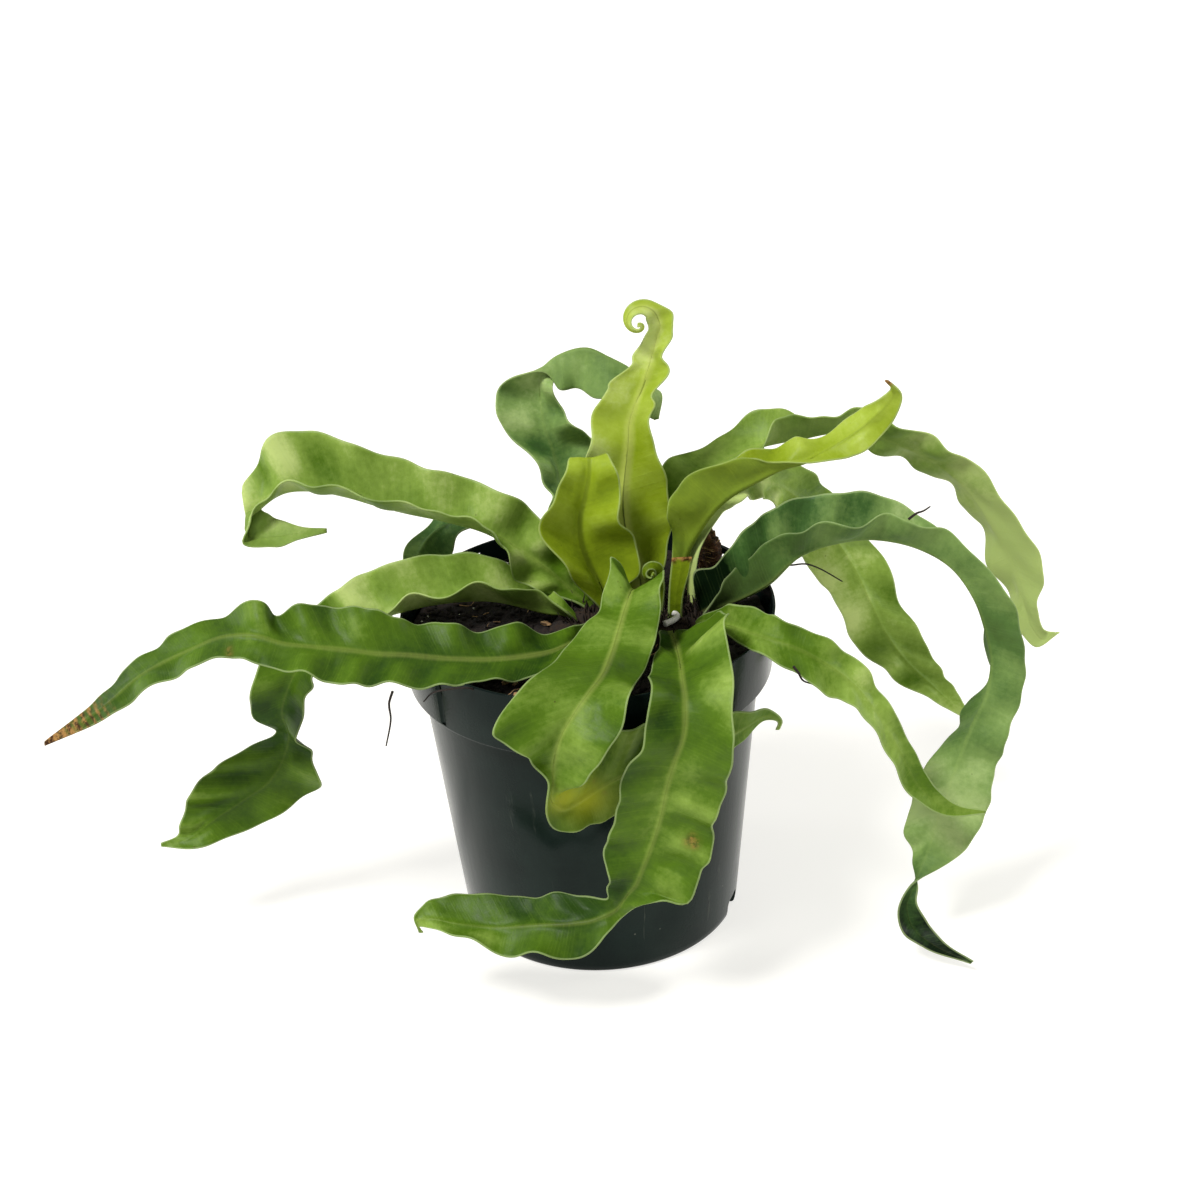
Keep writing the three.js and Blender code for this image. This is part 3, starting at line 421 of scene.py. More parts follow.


# The tones below carry painted shade at the feet of fronds deep in the crown and on fronds in the shade of
# others, and painted light on lit fronds
FRONDS = {
    "frond_tall_centre": Frond(
        "leaf_young", TALL_CENTRE, (24, 9), (-1, 0), (0.45, 0.72, 0.8),
        lean=-0.12, rib=2.6, ridge=1, fold=0.8,
        roll=dict(centre=(28, 268), radius=(8.8, 1.6), turns=1.25, y=(41, 30), half=(4.4, 0.8), steps=14),
    ),
    "frond_short_yellow": Frond(
        "leaf_young", SHORT_YELLOW, (11, 2), (-1, 0), (0.2, 0.4, 0.65), rib=-0.9, ridge=-0.8
    ),
    "frond_back_left": Frond("leaf_dark", BACK_LEFT, (16, 15), (-0.9, -0.4), (0.35, 0.75, 0.7)),
    "frond_left_high": Frond(
        "leaf_mid", LEFT_HIGH, (2, 11), (-0.4, -0.9), (0.35, 0.7, 0.75, 0.75, 0.75), fold=1.3
    ),
    "frond_left_mid": Frond(
        "leaf_mid", LEFT_MID, (-5, 2), (0, -1), (0.4, 0.75, 0.85, 0.15, 0.25, 0.3), fold=1.2
    ),
    "frond_left_low": Frond(
        "leaf_mid", LEFT_LOW, (0, -8), (0, -1), (0, 0.3, 0.35, 0.25, 0.1), rib=0.75, fold=1.1, dry=0.12,
        brown=[(-159, -45, 176, 1.4), (-149, -47, 166, 1.4), (-95, -50, 158, 1.2)],
    ),
    "frond_left_behind": Frond("leaf_dark", LEFT_BEHIND, (8, 17), (-0.4, -0.9), (0.35, 0.4, 0.4)),
    "frond_front_left": Frond(
        "leaf_mid", FRONT_LEFT, (25, -9), (1, 0), (0.4, 0.45, 0.55), rib=1,
        # Its yellow places are painted pools of light on the lobe under the fold
        yellow=[(-4, -92, 108, 9), (-13, -94, 113, 7)],
        brown=[(-1, -94, 117, 1.2), (3, -94, 111, 1.2)],
    ),
    "frond_front_right": Frond(
        "leaf_mid", FRONT_RIGHT, (35, -15), (1, 0), (0.05, 0.4, 0.4, 0.1, 0.6), lean=-0.13, rib=0.8,
        brown=[(37, -98, 93, 2.4), (39, -99, 91, 1.6)],
    ),
    "frond_right_low": Frond("leaf_mid", RIGHT_LOW, (47, -10), (0, 1), (0.25, 0.6, 0.5)),
    "frond_right_arch": Frond(
        "leaf_dark", RIGHT_ARCH, (50, 0), (0, 1), (-0.3, 0.15, 0.6, 0.6, 0.4, 0.65, 1, 0.2, 0)
    ),
    "frond_right_upper": Frond(
        "leaf_young", RIGHT_UPPER, (40, 6), (0, 1), (0.15, 0.4, 0.85), rib=-0.4, ridge=-0.6, dry=0.02
    ),
    "frond_right_long": Frond("leaf_mid", RIGHT_LONG, (38, 14), (-0.4, 0.9), (0.35, 0.5, 0.7, 1.05, 1.3)),
    "frond_right_back": Frond("leaf_mid", RIGHT_BACK, (46, 9), (-0.4, 0.9), (1.1, 0.75, 0.8)),
    "frond_crozier": Frond(
        "leaf_young", CROZIER, (30, 1), (-1, 0), (0, 0, 0.1), rib=0,
        roll=dict(centre=(28, 166), radius=(4.4, 1.5), turns=1.15, y=(2, -3), half=(2.2, 0.8), steps=10),
    ),
    "cut_stalk": Frond("leaf_young", CUT_STALK, (38, -4), (-1, 0), (0, 0.15, 0.3), rib=0, dry=0.05),
}


# Small shape helpers


def ease(t):
    """A smooth step from 0 to 1."""
    c = np.clip(t, 0, 1)
    return c * c * (3 - 2 * c)


def bump_at(distance, width):
    """A smooth hump, 1 at distance 0 and small beyond width."""
    return np.exp(-((distance / width) ** 2))


def unit(a):
    return a / np.maximum(np.linalg.norm(a, axis=-1, keepdims=True), 1e-9)


def placed(name, data):
    """A new object in the scene."""
    made = bpy.data.objects.new(name, data)
    bpy.context.scene.collection.objects.link(made)
    return made


def mesh_piece(name, points, faces, material):
    """A smooth mesh object from points in millimetres."""
    mesh = bpy.data.meshes.new(name)
    mesh.from_pydata((np.asarray(points, float) * MM).tolist(), [], faces)
    mesh.shade_smooth()
    mesh.materials.append(material)
    return placed(name, mesh)


def seat(piece, slot, *nodes):
    """The piece rides with the plant and stands for the given nodes. Its slot is not used."""
    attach(piece, "root")
    if nodes:
        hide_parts(*nodes)
    return piece


def ring_at(radius, z, sides):
    """Points of a circle round the pot's axis."""
    ring = np.linspace(0, TURN, sides, endpoint=False)
    return [(radius * cos(a), radius * sin(a), z) for a in ring]


def sweep_faces(rings, around, closed_ends=True):
    """Faces of a tube of rings, each with the same number of points around."""
    faces = []
    for i in range(rings - 1):
        a = i * around
        for j in range(around):
            k = (j + 1) % around
            faces.append((a + j, a + k, a + around + k, a + around + j))
    if closed_ends:
        faces.append(tuple(range(around - 1, -1, -1)))
        faces.append(tuple(range((rings - 1) * around, rings * around)))
    return faces


def top_faces(last, sides):
    """Faces from the last point to the ring before it."""
    first = last - sides
    return [(last, first + j, first + (j + 1) % sides) for j in range(sides)]


def turned_faces(rings, sides):
    """Faces of a shape with a first point, rings round the axis and a last point."""
    faces = [(0, 1 + (j + 1) % sides, 1 + j) for j in range(sides)]
    faces += [tuple(1 + k for k in face) for face in sweep_faces(rings, sides, False)]
    return faces + top_faces(1 + rings * sides, sides)


# Materials


class Look:
    """A material with short calls for the nodes that the looks use."""

    def __init__(self, name, **inputs):
        self.material = bpy.data.materials.new(name)
        self.material.use_nodes = True
        self.tree = self.material.node_tree
        self.shader = next(n for n in self.tree.nodes if n.type == "BSDF_PRINCIPLED")
        self.fill(self.shader, **inputs)

    def add(self, kind, *values, **settings):
        """A new node with its settings, its first inputs fed with values."""
        node = self.tree.nodes.new(kind)
        for key, value in settings.items():
            setattr(node, key, value)
        for socket, value in zip(node.inputs, values):
            self.feed(socket, value)
        return node

    def feed(self, socket, value):
        if isinstance(value, bpy.types.NodeSocket):
            self.tree.links.new(value, socket)
        elif socket.type == "RGBA":
            socket.default_value = (*value, 1)
        else:
            socket.default_value = value

    def fill(self, node, **inputs):
        """Feeds inputs of a node by their names."""
        for key, value in inputs.items():
            self.feed(node.inputs[key.replace("_", " ")], value)
        return node

    def math(self, operation, *values, clamp=False):
        return self.add("ShaderNodeMath", *values, operation=operation, use_clamp=clamp).outputs[0]

    def times(self, a, b, clamp=False):
        return self.math("MULTIPLY", a, b, clamp=clamp)

    def plus(self, a, b, clamp=False):
        return self.math("ADD", a, b, clamp=clamp)

    def less(self, a, b):
        return self.math("SUBTRACT", a, b)

    def attributes(self, *names):
        """What the mesh carries under each name."""
        return (self.add("ShaderNodeAttribute", attribute_name=name).outputs["Fac"] for name in names)

    def place(self, scale=(1, 1, 1)):
        """Position on the object, stretched by scale."""
        point = self.add("ShaderNodeTexCoord").outputs["Object"]
        return self.fill(self.add("ShaderNodeMapping"), Vector=point, Scale=scale).outputs[0]

    def noise(self, scale, detail=3, roughness=0.5, point=None):
        """Soft noise at the place on the object, or at another point."""
        node = self.fill(self.add("ShaderNodeTexNoise"), Vector=point or self.place(), Scale=scale)
        return self.fill(node, Detail=detail, Roughness=roughness).outputs[0]

    def grains(self, scale):
        """Distance to the nearest of many scattered points."""
        node = self.add("ShaderNodeTexVoronoi")
        return self.fill(node, Vector=self.place(), Scale=scale).outputs[0]

    def remap(self, value, low, high, to_low=0.0, to_high=1.0):
        """Smooth step of value from low to high."""
        values = (value, low, high, to_low, to_high)
        return self.add("ShaderNodeMapRange", *values, interpolation_type="SMOOTHSTEP").outputs[0]

    def mix(self, share, a, b):
        """Colour a with a share of colour b over it."""
        node = self.add("ShaderNodeMix", share, data_type="RGBA", blend_type="MIX")
        self.feed(node.inputs[6], a)
        self.feed(node.inputs[7], b)
        return node.outputs[2]

    def ramp(self, value, places, colours):
        """Colour by value, with a colour at each place."""
        node = self.add("ShaderNodeValToRGB", value)
        elements = node.color_ramp.elements
        while len(elements) < len(places):
            elements.new(0.5)
        for element, place, colour in zip(elements, places, colours):
            element.position = place
            element.color = (*colour, 1)
        return node.outputs[0]

    def relief(self, *layers):
        """Stacks bumps: each layer is a height and its depth in millimetres."""
        normal = None
        for height, depth in layers:
            node = self.fill(self.add("ShaderNodeBump"), Strength=1.0, Distance=depth * MM, Height=height)
            if normal:
                self.fill(node, Normal=normal)
            normal = node.outputs[0]
        self.fill(self.shader, Normal=normal)

    def finish(self, colour, roughness):
        self.fill(self.shader, Base_Color=colour, Roughness=roughness)
        return self.material


def shade(code):
    """A colour written as 0xRRGGBB, as a surface colour in linear light."""
    parts = ((code >> 16) & 255, (code >> 8) & 255, code & 255)
    return tuple(((c / 255 + 0.055) / 1.055) ** 2.4 if c > 10 else c / 255 / 12.92 for c in parts)


# Each leaf's colours from its darkest to its palest, and how they are spread
LEAF_SHADES = {
    "leaf_mid": (shade(0x284210), shade(0x4E6C16), shade(0x829C42), shade(0xB4C476)),
    "leaf_young": (shade(0x566A0E), shade(0x84981C), shade(0x9DB03E), shade(0xBDCB76)),
    "leaf_dark": (shade(0x0A1808), shade(0x40602C), shade(0x7E9A54), shade(0xB0C480)),
}
SHADE_PLACES = (0, 0.42, 0.75, 1)
PATCH_TONE = 1.1
STREAK_TONE = 0.16
MOTTLE_TONE = 0.3
EVEN_TONE = 0.78
UNDERSIDE = shade(0x5C7438)
MIDRIB_PALE = shade(0xBCC468)
# The midrib's fine dark line, and the painted shade in a sunken midrib's groove
MIDRIB_LINE_AND_GROOVE_SHADE = shade(0x3E4A14)
MARGIN = shade(0xA4B57C)
# The yellow-green of painted pools of light on a leaf
PAINTED_LIGHT_YELLOW = shade(0xA3A820)
DRY_PALE = shade(0x9A7440)
DRY_DARK = shade(0x3C2614)
VEIN_SPACING = 1.3
VEIN_SLANT = 0.35


def leaf_material(name):
    look = Look(name, Subsurface_Weight=0.1, Subsurface_Scale=0.0012, Subsurface_Radius=(0.8, 1.0, 0.25))
    along, across, under = look.attributes("blade_s", "blade_d", "blade_under")
    edge, from_middle, rib = look.attributes("blade_edge", "blade_mid", "blade_rib")
    tone, dry, yellow = look.attributes("blade_tone", "blade_dry", "blade_lit_patch")
    slanted = look.less(along, look.times(look.math("ABSOLUTE", across), VEIN_SLANT))

    patches = look.noise(30)
    streak_place = look.add("ShaderNodeCombineXYZ", look.times(slanted, 0.4), look.times(across, 0.04), 0.0)
    streaks = look.noise(1, detail=4, point=streak_place.outputs[0])
    mottle = look.noise(420, detail=4, roughness=0.65)
    shift = look.plus(look.times(patches, PATCH_TONE), look.times(streaks, STREAK_TONE))
    shift = look.plus(shift, look.times(mottle, MOTTLE_TONE))
    # The level starts from the frond's tone, which holds painted light and painted shade as well as its own
    # colour
    level = look.plus(tone, look.less(shift, EVEN_TONE), clamp=True)
    colour = look.ramp(level, SHADE_PLACES, LEAF_SHADES[name])
    colour = look.mix(look.times(under, 0.35), colour, UNDERSIDE)

    wave = look.math("SINE", look.times(slanted, TURN / VEIN_SPACING))
    veins = look.times(look.remap(wave, 0.1, 1.0), look.remap(streaks, 0.4, 0.7))
    colour = look.mix(look.times(veins, 0.08), colour, LEAF_SHADES[name][2])

    # A pale rib where rib is above 0 and, below 0, a dark one that is painted shade in the groove, with a
    # fine dark line on the upper side
    band = look.times(look.remap(from_middle, 1.3, 0.25), rib)
    colour = look.mix(look.times(band, 0.3, clamp=True), colour, MIDRIB_PALE)
    colour = look.mix(look.times(band, -0.9, clamp=True), colour, MIDRIB_LINE_AND_GROOVE_SHADE)
    line = look.times(look.remap(from_middle, 0.2, 0.07), look.less(1, under))
    line = look.times(line, look.times(rib, 0.35), clamp=True)
    colour = look.mix(line, colour, MIDRIB_LINE_AND_GROOVE_SHADE)
    rim = look.times(look.remap(edge, 0.45, 0.1), look.less(0.45, look.times(under, 0.35)))
    colour = look.mix(rim, colour, MARGIN)

    # Painted light: yellow-green pools where light falls on a leaf
    colour = look.mix(look.times(yellow, 0.8), colour, PAINTED_LIGHT_YELLOW)
    specks = look.times(look.remap(look.grains(130), 0.07, 0.03, 0, 0.6), look.remap(patches, 0.5, 0.62))
    colour = look.mix(specks, colour, DRY_DARK)
    colour = look.mix(dry, colour, look.mix(look.remap(mottle, 0.4, 0.6), DRY_PALE, DRY_DARK))

    # Leaves shine less deep in the crown, and are rougher on their underside and where they are dry
    shine = look.times(look.less(1, look.remap(along, 95, 35, 0, 0.8)), 0.1)
    look.fill(look.shader, Specular_IOR_Level=shine)
    rough = look.plus(look.remap(mottle, 0.3, 0.7, 0.36, 0.48), look.times(under, 0.14))
    look.relief((veins, 0.03), (mottle, 0.14), (streaks, 0.15))
    return look.finish(colour, look.plus(rough, look.times(dry, 0.3)))


POT_DARK = shade(0x0A1312)
POT_LIGHT = shade(0x15201D)
DUST = shade(0x8E8F80)


def pot_material():
    look = Look("pot_plastic", Specular_Tint=(0.8, 0.98, 0.88), Specular_IOR_Level=0.13)
    clouds = look.noise(22, detail=4, roughness=0.6)
    grain = look.noise(900, detail=2)
    scratches = look.noise(1, roughness=0.6, point=look.place((260, 260, 6)))
    colour = look.mix(look.remap(clouds, 0.35, 0.7), POT_DARK, POT_LIGHT)
    marks = look.times(look.remap(scratches, 0.64, 0.72), look.remap(clouds, 0.45, 0.6))
    colour = look.mix(look.times(marks, 0.12), colour, DUST)
    specks = look.times(look.remap(look.grains(160), 0.09, 0.04, 0, 0.3), look.remap(clouds, 0.55, 0.62))
    colour = look.mix(specks, colour, DUST)
    look.relief((grain, 0.05), (scratches, 0.05))
    return look.finish(colour, look.plus(look.remap(clouds, 0.3, 0.7, 0.15, 0.24), look.times(marks, 0.2)))


def earth_material(name, dark, pale, scale, depth):
    """A rough crumbly surface of two colours, with lumps to scale and depth in millimetres."""
    look = Look(name)
    clumps = look.noise(scale, detail=6, roughness=0.7)
    fine = look.noise(scale * 6, detail=5, roughness=0.7)
    level = look.plus(look.times(clumps, 0.6), look.times(fine, 0.5))
    colour = look.mix(look.remap(level, 0.42, 0.72), shade(dark), shade(pale))
    look.relief((clumps, depth), (fine, depth / 3))
    return look.finish(colour, look.remap(fine, 0.3, 0.7, 0.8, 1.0))


LEAF_MATERIALS = {name: leaf_material(name) for name in LEAF_SHADES}
POT_PLASTIC = pot_material()
SOIL = earth_material("soil", 0x080504, 0x2E1F15, 420, 0.9)
SCALES = earth_material("crown_scales", 0x0E0805, 0x36230F, 420, 0.6)
PEAT = earth_material("peat", 0x1A0E09, 0x84583A, 260, 1.2)
PERLITE = earth_material("perlite", 0xECE6DA, 0xFCFAF5, 500, 0.3)
ROOT = earth_material("root", 0x120C09, 0x2C1E14, 700, 0.15)
CHIP = earth_material("chip", 0x8E6A44, 0xC9A778, 500, 0.2)


# Fronds


def foot_rows(frond):
    """The two stations of a stalk inside the crown."""
    rows = []
    for z, half in zip((STALK_FOOT, STALK_NECK), STALK_HALF):
        x, y = (half * part for part in frond.side)
        rows.append([*frond.foot, z, x, y, 0, -x, -y, 0])
    return rows


def roll_rows(centre, radius, turns, y, half, steps):
    """The stations of a tip that rolls up. Its blade turns part way edge on as the roll starts."""
    rows = []
    for i in range(1, steps + 1):
        share = i / steps
        wound = 1 - (1 - share) ** 2
        angle = TURN * turns * share
        facing = min(angle, ROLL_FACING)
        wide = half[0] + (half[1] - half[0]) * wound
        r = radius[0] + (radius[1] - radius[0]) * wound
        depth = y[0] + (y[1] - y[0]) * share
        inward, near = wide * cos(facing), wide * sin(facing)
        left = np.array([-inward * cos(angle), -near, -inward * sin(angle)])
        point = [centre[0] + r * cos(angle), depth, centre[1] + r * sin(angle)]
        rows.append([*point, *left, *-left])
    return rows


def fullness(width):
    """0 where a blade is too narrow for waves, 1 where it is wide."""
    return ease((width - NARROW) / (WIDE - NARROW))


def side_shift(v):
    """How far the waves of the left half run ahead of those of the right half."""
    return np.where(v < 0, SIDE_SHIFT, 0)[None, :]


class Blade:
    """The middle surface of a frond, by length s along its midrib and share v of its half width."""

    def __init__(self, frond, phase):
        self.ridge = frond.ridge
        self.fold = frond.fold
        self.phase = phase
        stations = [[x for part in row for x in part] for row in frond.stations]
        rolled = roll_rows(**frond.roll) if frond.roll else []
        self.rows = np.array(foot_rows(frond) + stations + rolled, float)
        chords = np.linalg.norm(np.diff(self.rows, axis=0)[:, :3], axis=1)
        self.at = np.concatenate([[0], np.cumsum(chords)])
        self.total = self.at[-1]
        rate = np.diff(self.rows, axis=0) / chords[:, None]
        before, after = chords[:-1, None], chords[1:, None]
        middle = (rate[1:] * before + rate[:-1] * after) / (before + after)
        self.slopes = np.vstack([rate[:1], middle, rate[-1:]])

    def along(self, s):
        """Rows at lengths s, on a smooth curve through the stations."""
        s = np.clip(s, 0, self.total)
        i = np.clip(np.searchsorted(self.at, s) - 1, 0, len(self.rows) - 2)
        h = (self.at[i + 1] - self.at[i])[:, None]
        t = (s - self.at[i])[:, None] / h
        t2, t3 = t * t, t * t * t
        start = (2 * t3 - 3 * t2 + 1) * self.rows[i] + (t3 - 2 * t2 + t) * h * self.slopes[i]
        return start + (3 * t2 - 2 * t3) * self.rows[i + 1] + (t3 - t2) * h * self.slopes[i + 1]

    def points(self, s, v):
        """Grid of points, their normals and the half width."""
        row = self.along(s)
        forward = unit((self.along(s + 0.5) - self.along(s - 0.5))[:, :3])[:, None]
        left = (v < 0)[None, :, None]
        margin = np.where(left, row[:, None, 3:6], row[:, None, 6:9])
        up = unit(np.cross(forward, margin) * np.where(left, 1, -1))
        width = np.linalg.norm(margin, axis=2)
        f = np.abs(v)[None, :]
        full = fullness(width)
        shift = side_shift(v)
        turn = TURN * s[:, None] / RIPPLE_LENGTH + self.phase + shift
        lift = RIPPLE_HEIGHT * full * f * f * np.sin(turn) - HOLLOW * width * f * (1 - f)
        waves, scallop = self.small_waves(s[:, None], f * width, f, full, shift)
        lift += waves + self.ridge * full * bump_at(f * width, RIDGE_WIDTH)
        spread = f * (1 + SCALLOP * full * np.sin(1.3 * turn + 1)) + scallop / np.maximum(width, 1)
        grid = row[:, None, :3] + margin * spread[..., None] + up * lift[..., None]
        normals = unit(np.cross(np.gradient(grid, axis=1), np.gradient(grid, axis=0)))
        return grid, normals, width

    def drift(self, s, shift):
        """How the folds slide and swell along the blade, so that no two are alike."""
        slide = FOLD_SLIDE * np.sin(s / SLIDE_LENGTH + self.phase) + 2.5 * shift
        return slide, MEAN_SWELL + FOLD_SWELL * np.sin(s / SWELL_LENGTH + 2 * self.phase + shift)

    def crests(self, s, distance, shift):
        """The folds: about 1 on a crest, -1 in a trough."""
        slide, swell = self.drift(s, shift)
        return self.fold * swell * np.sin(TURN * (s - FOLD_SLANT * distance) / FOLD_LENGTH + slide)

    def small_waves(self, s, distance, f, full, shift):
        """Slanting folds across the blade, a frill near its margins, and how far that frill reaches out."""
        slide, swell = self.drift(s, shift)
        fold = FOLD_HEIGHT * self.crests(s, distance, shift)
        turn = TURN * s / FRILL_LENGTH + 1.6 * slide
        frill = FRILL_HEIGHT * (2 - 1.6 * swell) * np.sin(turn)
        reach = FRILL_REACH * f**3 * np.sin(turn + 1.2)
        return full * (fold * ease(f / 0.55) + frill * f**4), full * reach

    def cuts(self):
        """The lengths at which the skin has its rings."""
        parts = [np.zeros(1)]
        for a, b in zip(self.at[:-1], self.at[1:]):
            steps = max(FEWEST_CUTS, ceil((b - a) / FINE_STEP))
            parts.append(np.linspace(a, b, steps + 1)[1:])
        return np.concatenate(parts)


def marks_at(marks, grid):
    """1 in the middle of each mark, 0 away from it."""
    found = np.zeros(grid.shape[:2])
    for *place, radius in marks:
        found = np.maximum(found, bump_at(np.linalg.norm((grid - place) * (1, 0.2, 1), axis=2), radius))
    return found


def dryness(frond, share, grid):
    """How brown each point is: brown marks, and a dried tip with an uneven edge."""
    brown = 0.8 * marks_at(frond.brown, grid)
    if not frond.dry:
        return brown
    uneven = 0.35 * frond.dry * np.sin(grid[..., 0] * 0.9 + grid[..., 2] * 1.3)
    return np.maximum(brown, ease((share[:, None] + uneven - (1 - frond.dry)) / (0.5 * frond.dry)))


def spread_round(upper, under=None):
    """Values for a whole skin, from those of its upper side and, where it differs, its underside."""
    flipped = upper[:, ::-1] if under is None else under
    return np.concatenate([upper, upper[:, -1:], flipped, upper[:, :1]], axis=1)


def frond_piece(name, frond, order):
    """One frond as a closed skin with a round edge, a raised midrib above and a keel below."""
    blade = Blade(frond, RIPPLE_SHIFT * order)
    s = blade.cuts()
    t = np.linspace(-1, 1, FINE_ACROSS + 1)
    v = np.sign(t) * np.abs(t) ** CROWDING
    f = np.abs(v)[None, :]
    middle, normal, width = blade.points(s, v)
    share = s / blade.total
    distance = f * width
    full = fullness(width)
    foot = 1 - ease(s / STALK_LENGTH)[:, None]
    half = (BLADE + (STALK - BLADE) * foot * (1 - 0.5 * f)) / 2
    keel = RIB * (1 - 0.85 * share)[:, None] * bump_at(distance, KEEL_WIDTH)
    dip = DIP_DEPTH * bump_at(distance - DIP_PLACE, DIP_WIDTH)
    relief = full * (MIDRIB_HEIGHT * bump_at(distance, MIDRIB_WIDTH) - dip)
    top = middle + normal * (half + relief)[..., None]
    bottom = middle - normal * (half + keel - 0.5 * relief)[..., None]
    outward = unit(middle[:, [0, -1]] - middle[:, [1, -2]])
    rims = middle[:, [0, -1]] + outward * half[:, [0, -1]][..., None]
    rings = np.concatenate([top, rims[:, 1:], bottom[:, ::-1], rims[:, :1]], axis=1)
    around = rings.shape[1]
    faces = sweep_faces(len(s), around)
    shown = name.replace("frond", "leaf")
    piece = mesh_piece(shown, rings.reshape(-1, 3), faces, LEAF_MATERIALS[frond.look])

    level = np.ones((1, around))
    signed = spread_round(np.sign(v)[None, :] * distance)
    rib_half = np.interp(share, (0, 1), RIB_HALF)[:, None] * (0.5 + 0.5 * abs(frond.rib))
    # The folds' crests are painted paler and their troughs darker: painted light and shade that follow the
    # folds
    waves = blade.crests(s[:, None], distance, side_shift(v)) * full * ease(f / 0.4)
    # Painted shade and light along the frond: darker at its foot deep in the crown, paler where light falls
    tone = np.interp(share, np.linspace(0, 1, len(frond.tone)), frond.tone)[:, None]
    # lean paints light on one half of the blade and shade on the other
    tone = tone + PAINTED_FOLD_SHADE * waves + frond.lean * np.sign(v) * ease(np.abs(v) / 0.5)
    paint = {
        "blade_s": s[:, None] * level,
        "blade_d": signed,
        "blade_edge": spread_round((1 - f) * width),
        "blade_under": spread_round(np.zeros_like(distance), np.ones_like(distance)),
        "blade_mid": np.abs(signed) / rib_half,
        "blade_rib": frond.rib * (1 - 0.8 * share)[:, None] * level,
        "blade_tone": spread_round(tone),
        "blade_dry": spread_round(dryness(frond, share, middle)),
        "blade_lit_patch": spread_round(marks_at(frond.yellow, middle)),
    }
    for key, values in paint.items():
        layer = piece.data.attributes.new(key, "FLOAT", "POINT")
        layer.data.foreach_set("value", values.astype(np.float32).ravel())
    return seat(piece, frond.look, name)


for order, (name, frond) in enumerate(FRONDS.items()):
    frond_piece(name, frond, order)


# Pot


def rounded(corners):
    """A profile with its corners rounded: each is a radius, a height and how much to round it."""
    points = []
    for i, (r, z, fillet) in enumerate(corners):
        here = np.array([r, z], float)
        if not fillet or i in (0, len(corners) - 1):
            points.append(here)
            continue
        back = unit(np.array(corners[i - 1][:2], float) - here) * fillet
        on = unit(np.array(corners[i + 1][:2], float) - here) * fillet
        for t in np.linspace(0, 1, 6):
            points.append(here + back * (1 - t) ** 2 + on * t**2)
    return points


def turned_piece(name, profile, sides, material):
    """A closed profile that starts and ends on the axis, turned round it."""
    points = [(0, 0, profile[0][1])]
    for r, z in profile[1:-1]:
        points += ring_at(r, z, sides)
    points.append((0, 0, profile[-1][1]))
    return mesh_piece(name, points, turned_faces(len(profile) - 2, sides), material)


def carve(piece, cutters):
    """Cuts the cutters out of the piece, then removes them."""
    for cutter in cutters:
        step = piece.modifiers.new("cut", "BOOLEAN")
        step.operation = "DIFFERENCE"
        step.solver = "EXACT"
        step.object = cutter
    bpy.context.view_layer.update()
    made = piece.evaluated_get(bpy.context.evaluated_depsgraph_get())
    piece.data = bpy.data.meshes.new_from_object(made)
    piece.modifiers.clear()
    for cutter in cutters:
        bpy.data.objects.remove(cutter)


def cutter_piece(shape, angle):
    """A cutting shape turned round the pot's axis."""
    mesh = bpy.data.meshes.new("cutter")
    bmesh.ops.recalc_face_normals(shape, faces=shape.faces)
    shape.to_mesh(mesh)
    shape.free()
    mesh.transform(Matrix.Rotation(radians(angle), 4, "Z") @ Matrix.Scale(MM, 4))
    return placed("cutter", mesh)


def drain_cutter(angle):
    """An arched notch through the foot of the wall."""
    shape = bmesh.new()
    size = Matrix.Diagonal((2 * DRAIN_DEPTH, DRAIN_WIDTH, 2 * DRAIN_HEIGHT, 1))
    bmesh.ops.create_cube(shape, size=1, matrix=Matrix.Translation((POT_BASE_RADIUS, 0, 0)) @ size)
    top = [e for e in shape.edges if all(v.co.z > 0 and abs(v.co.y) > 1 for v in e.verts)]
    long = [e for e in top if abs(e.verts[0].co.y - e.verts[1].co.y) < 1]
    bmesh.ops.bevel(shape, geom=long, offset=DRAIN_ROUND, segments=6, profile=0.5, affect="EDGES")
    return cutter_piece(shape, angle)


def slot_cutter(angle):
    """An upright groove in the band."""
    shape = bmesh.new()
    middle = (BAND_LOW_RADIUS + SLOT_RADIUS - SLOT_DEPTH, 0, SLOT_FOOT + SLOT_HEIGHT / 2)
    radii = {"radius1": SLOT_RADIUS, "radius2": SLOT_RADIUS}
    at = Matrix.Translation(middle)
    bmesh.ops.create_cone(shape, cap_ends=True, segments=32, depth=SLOT_HEIGHT, matrix=at, **radii)
    return cutter_piece(shape, angle)


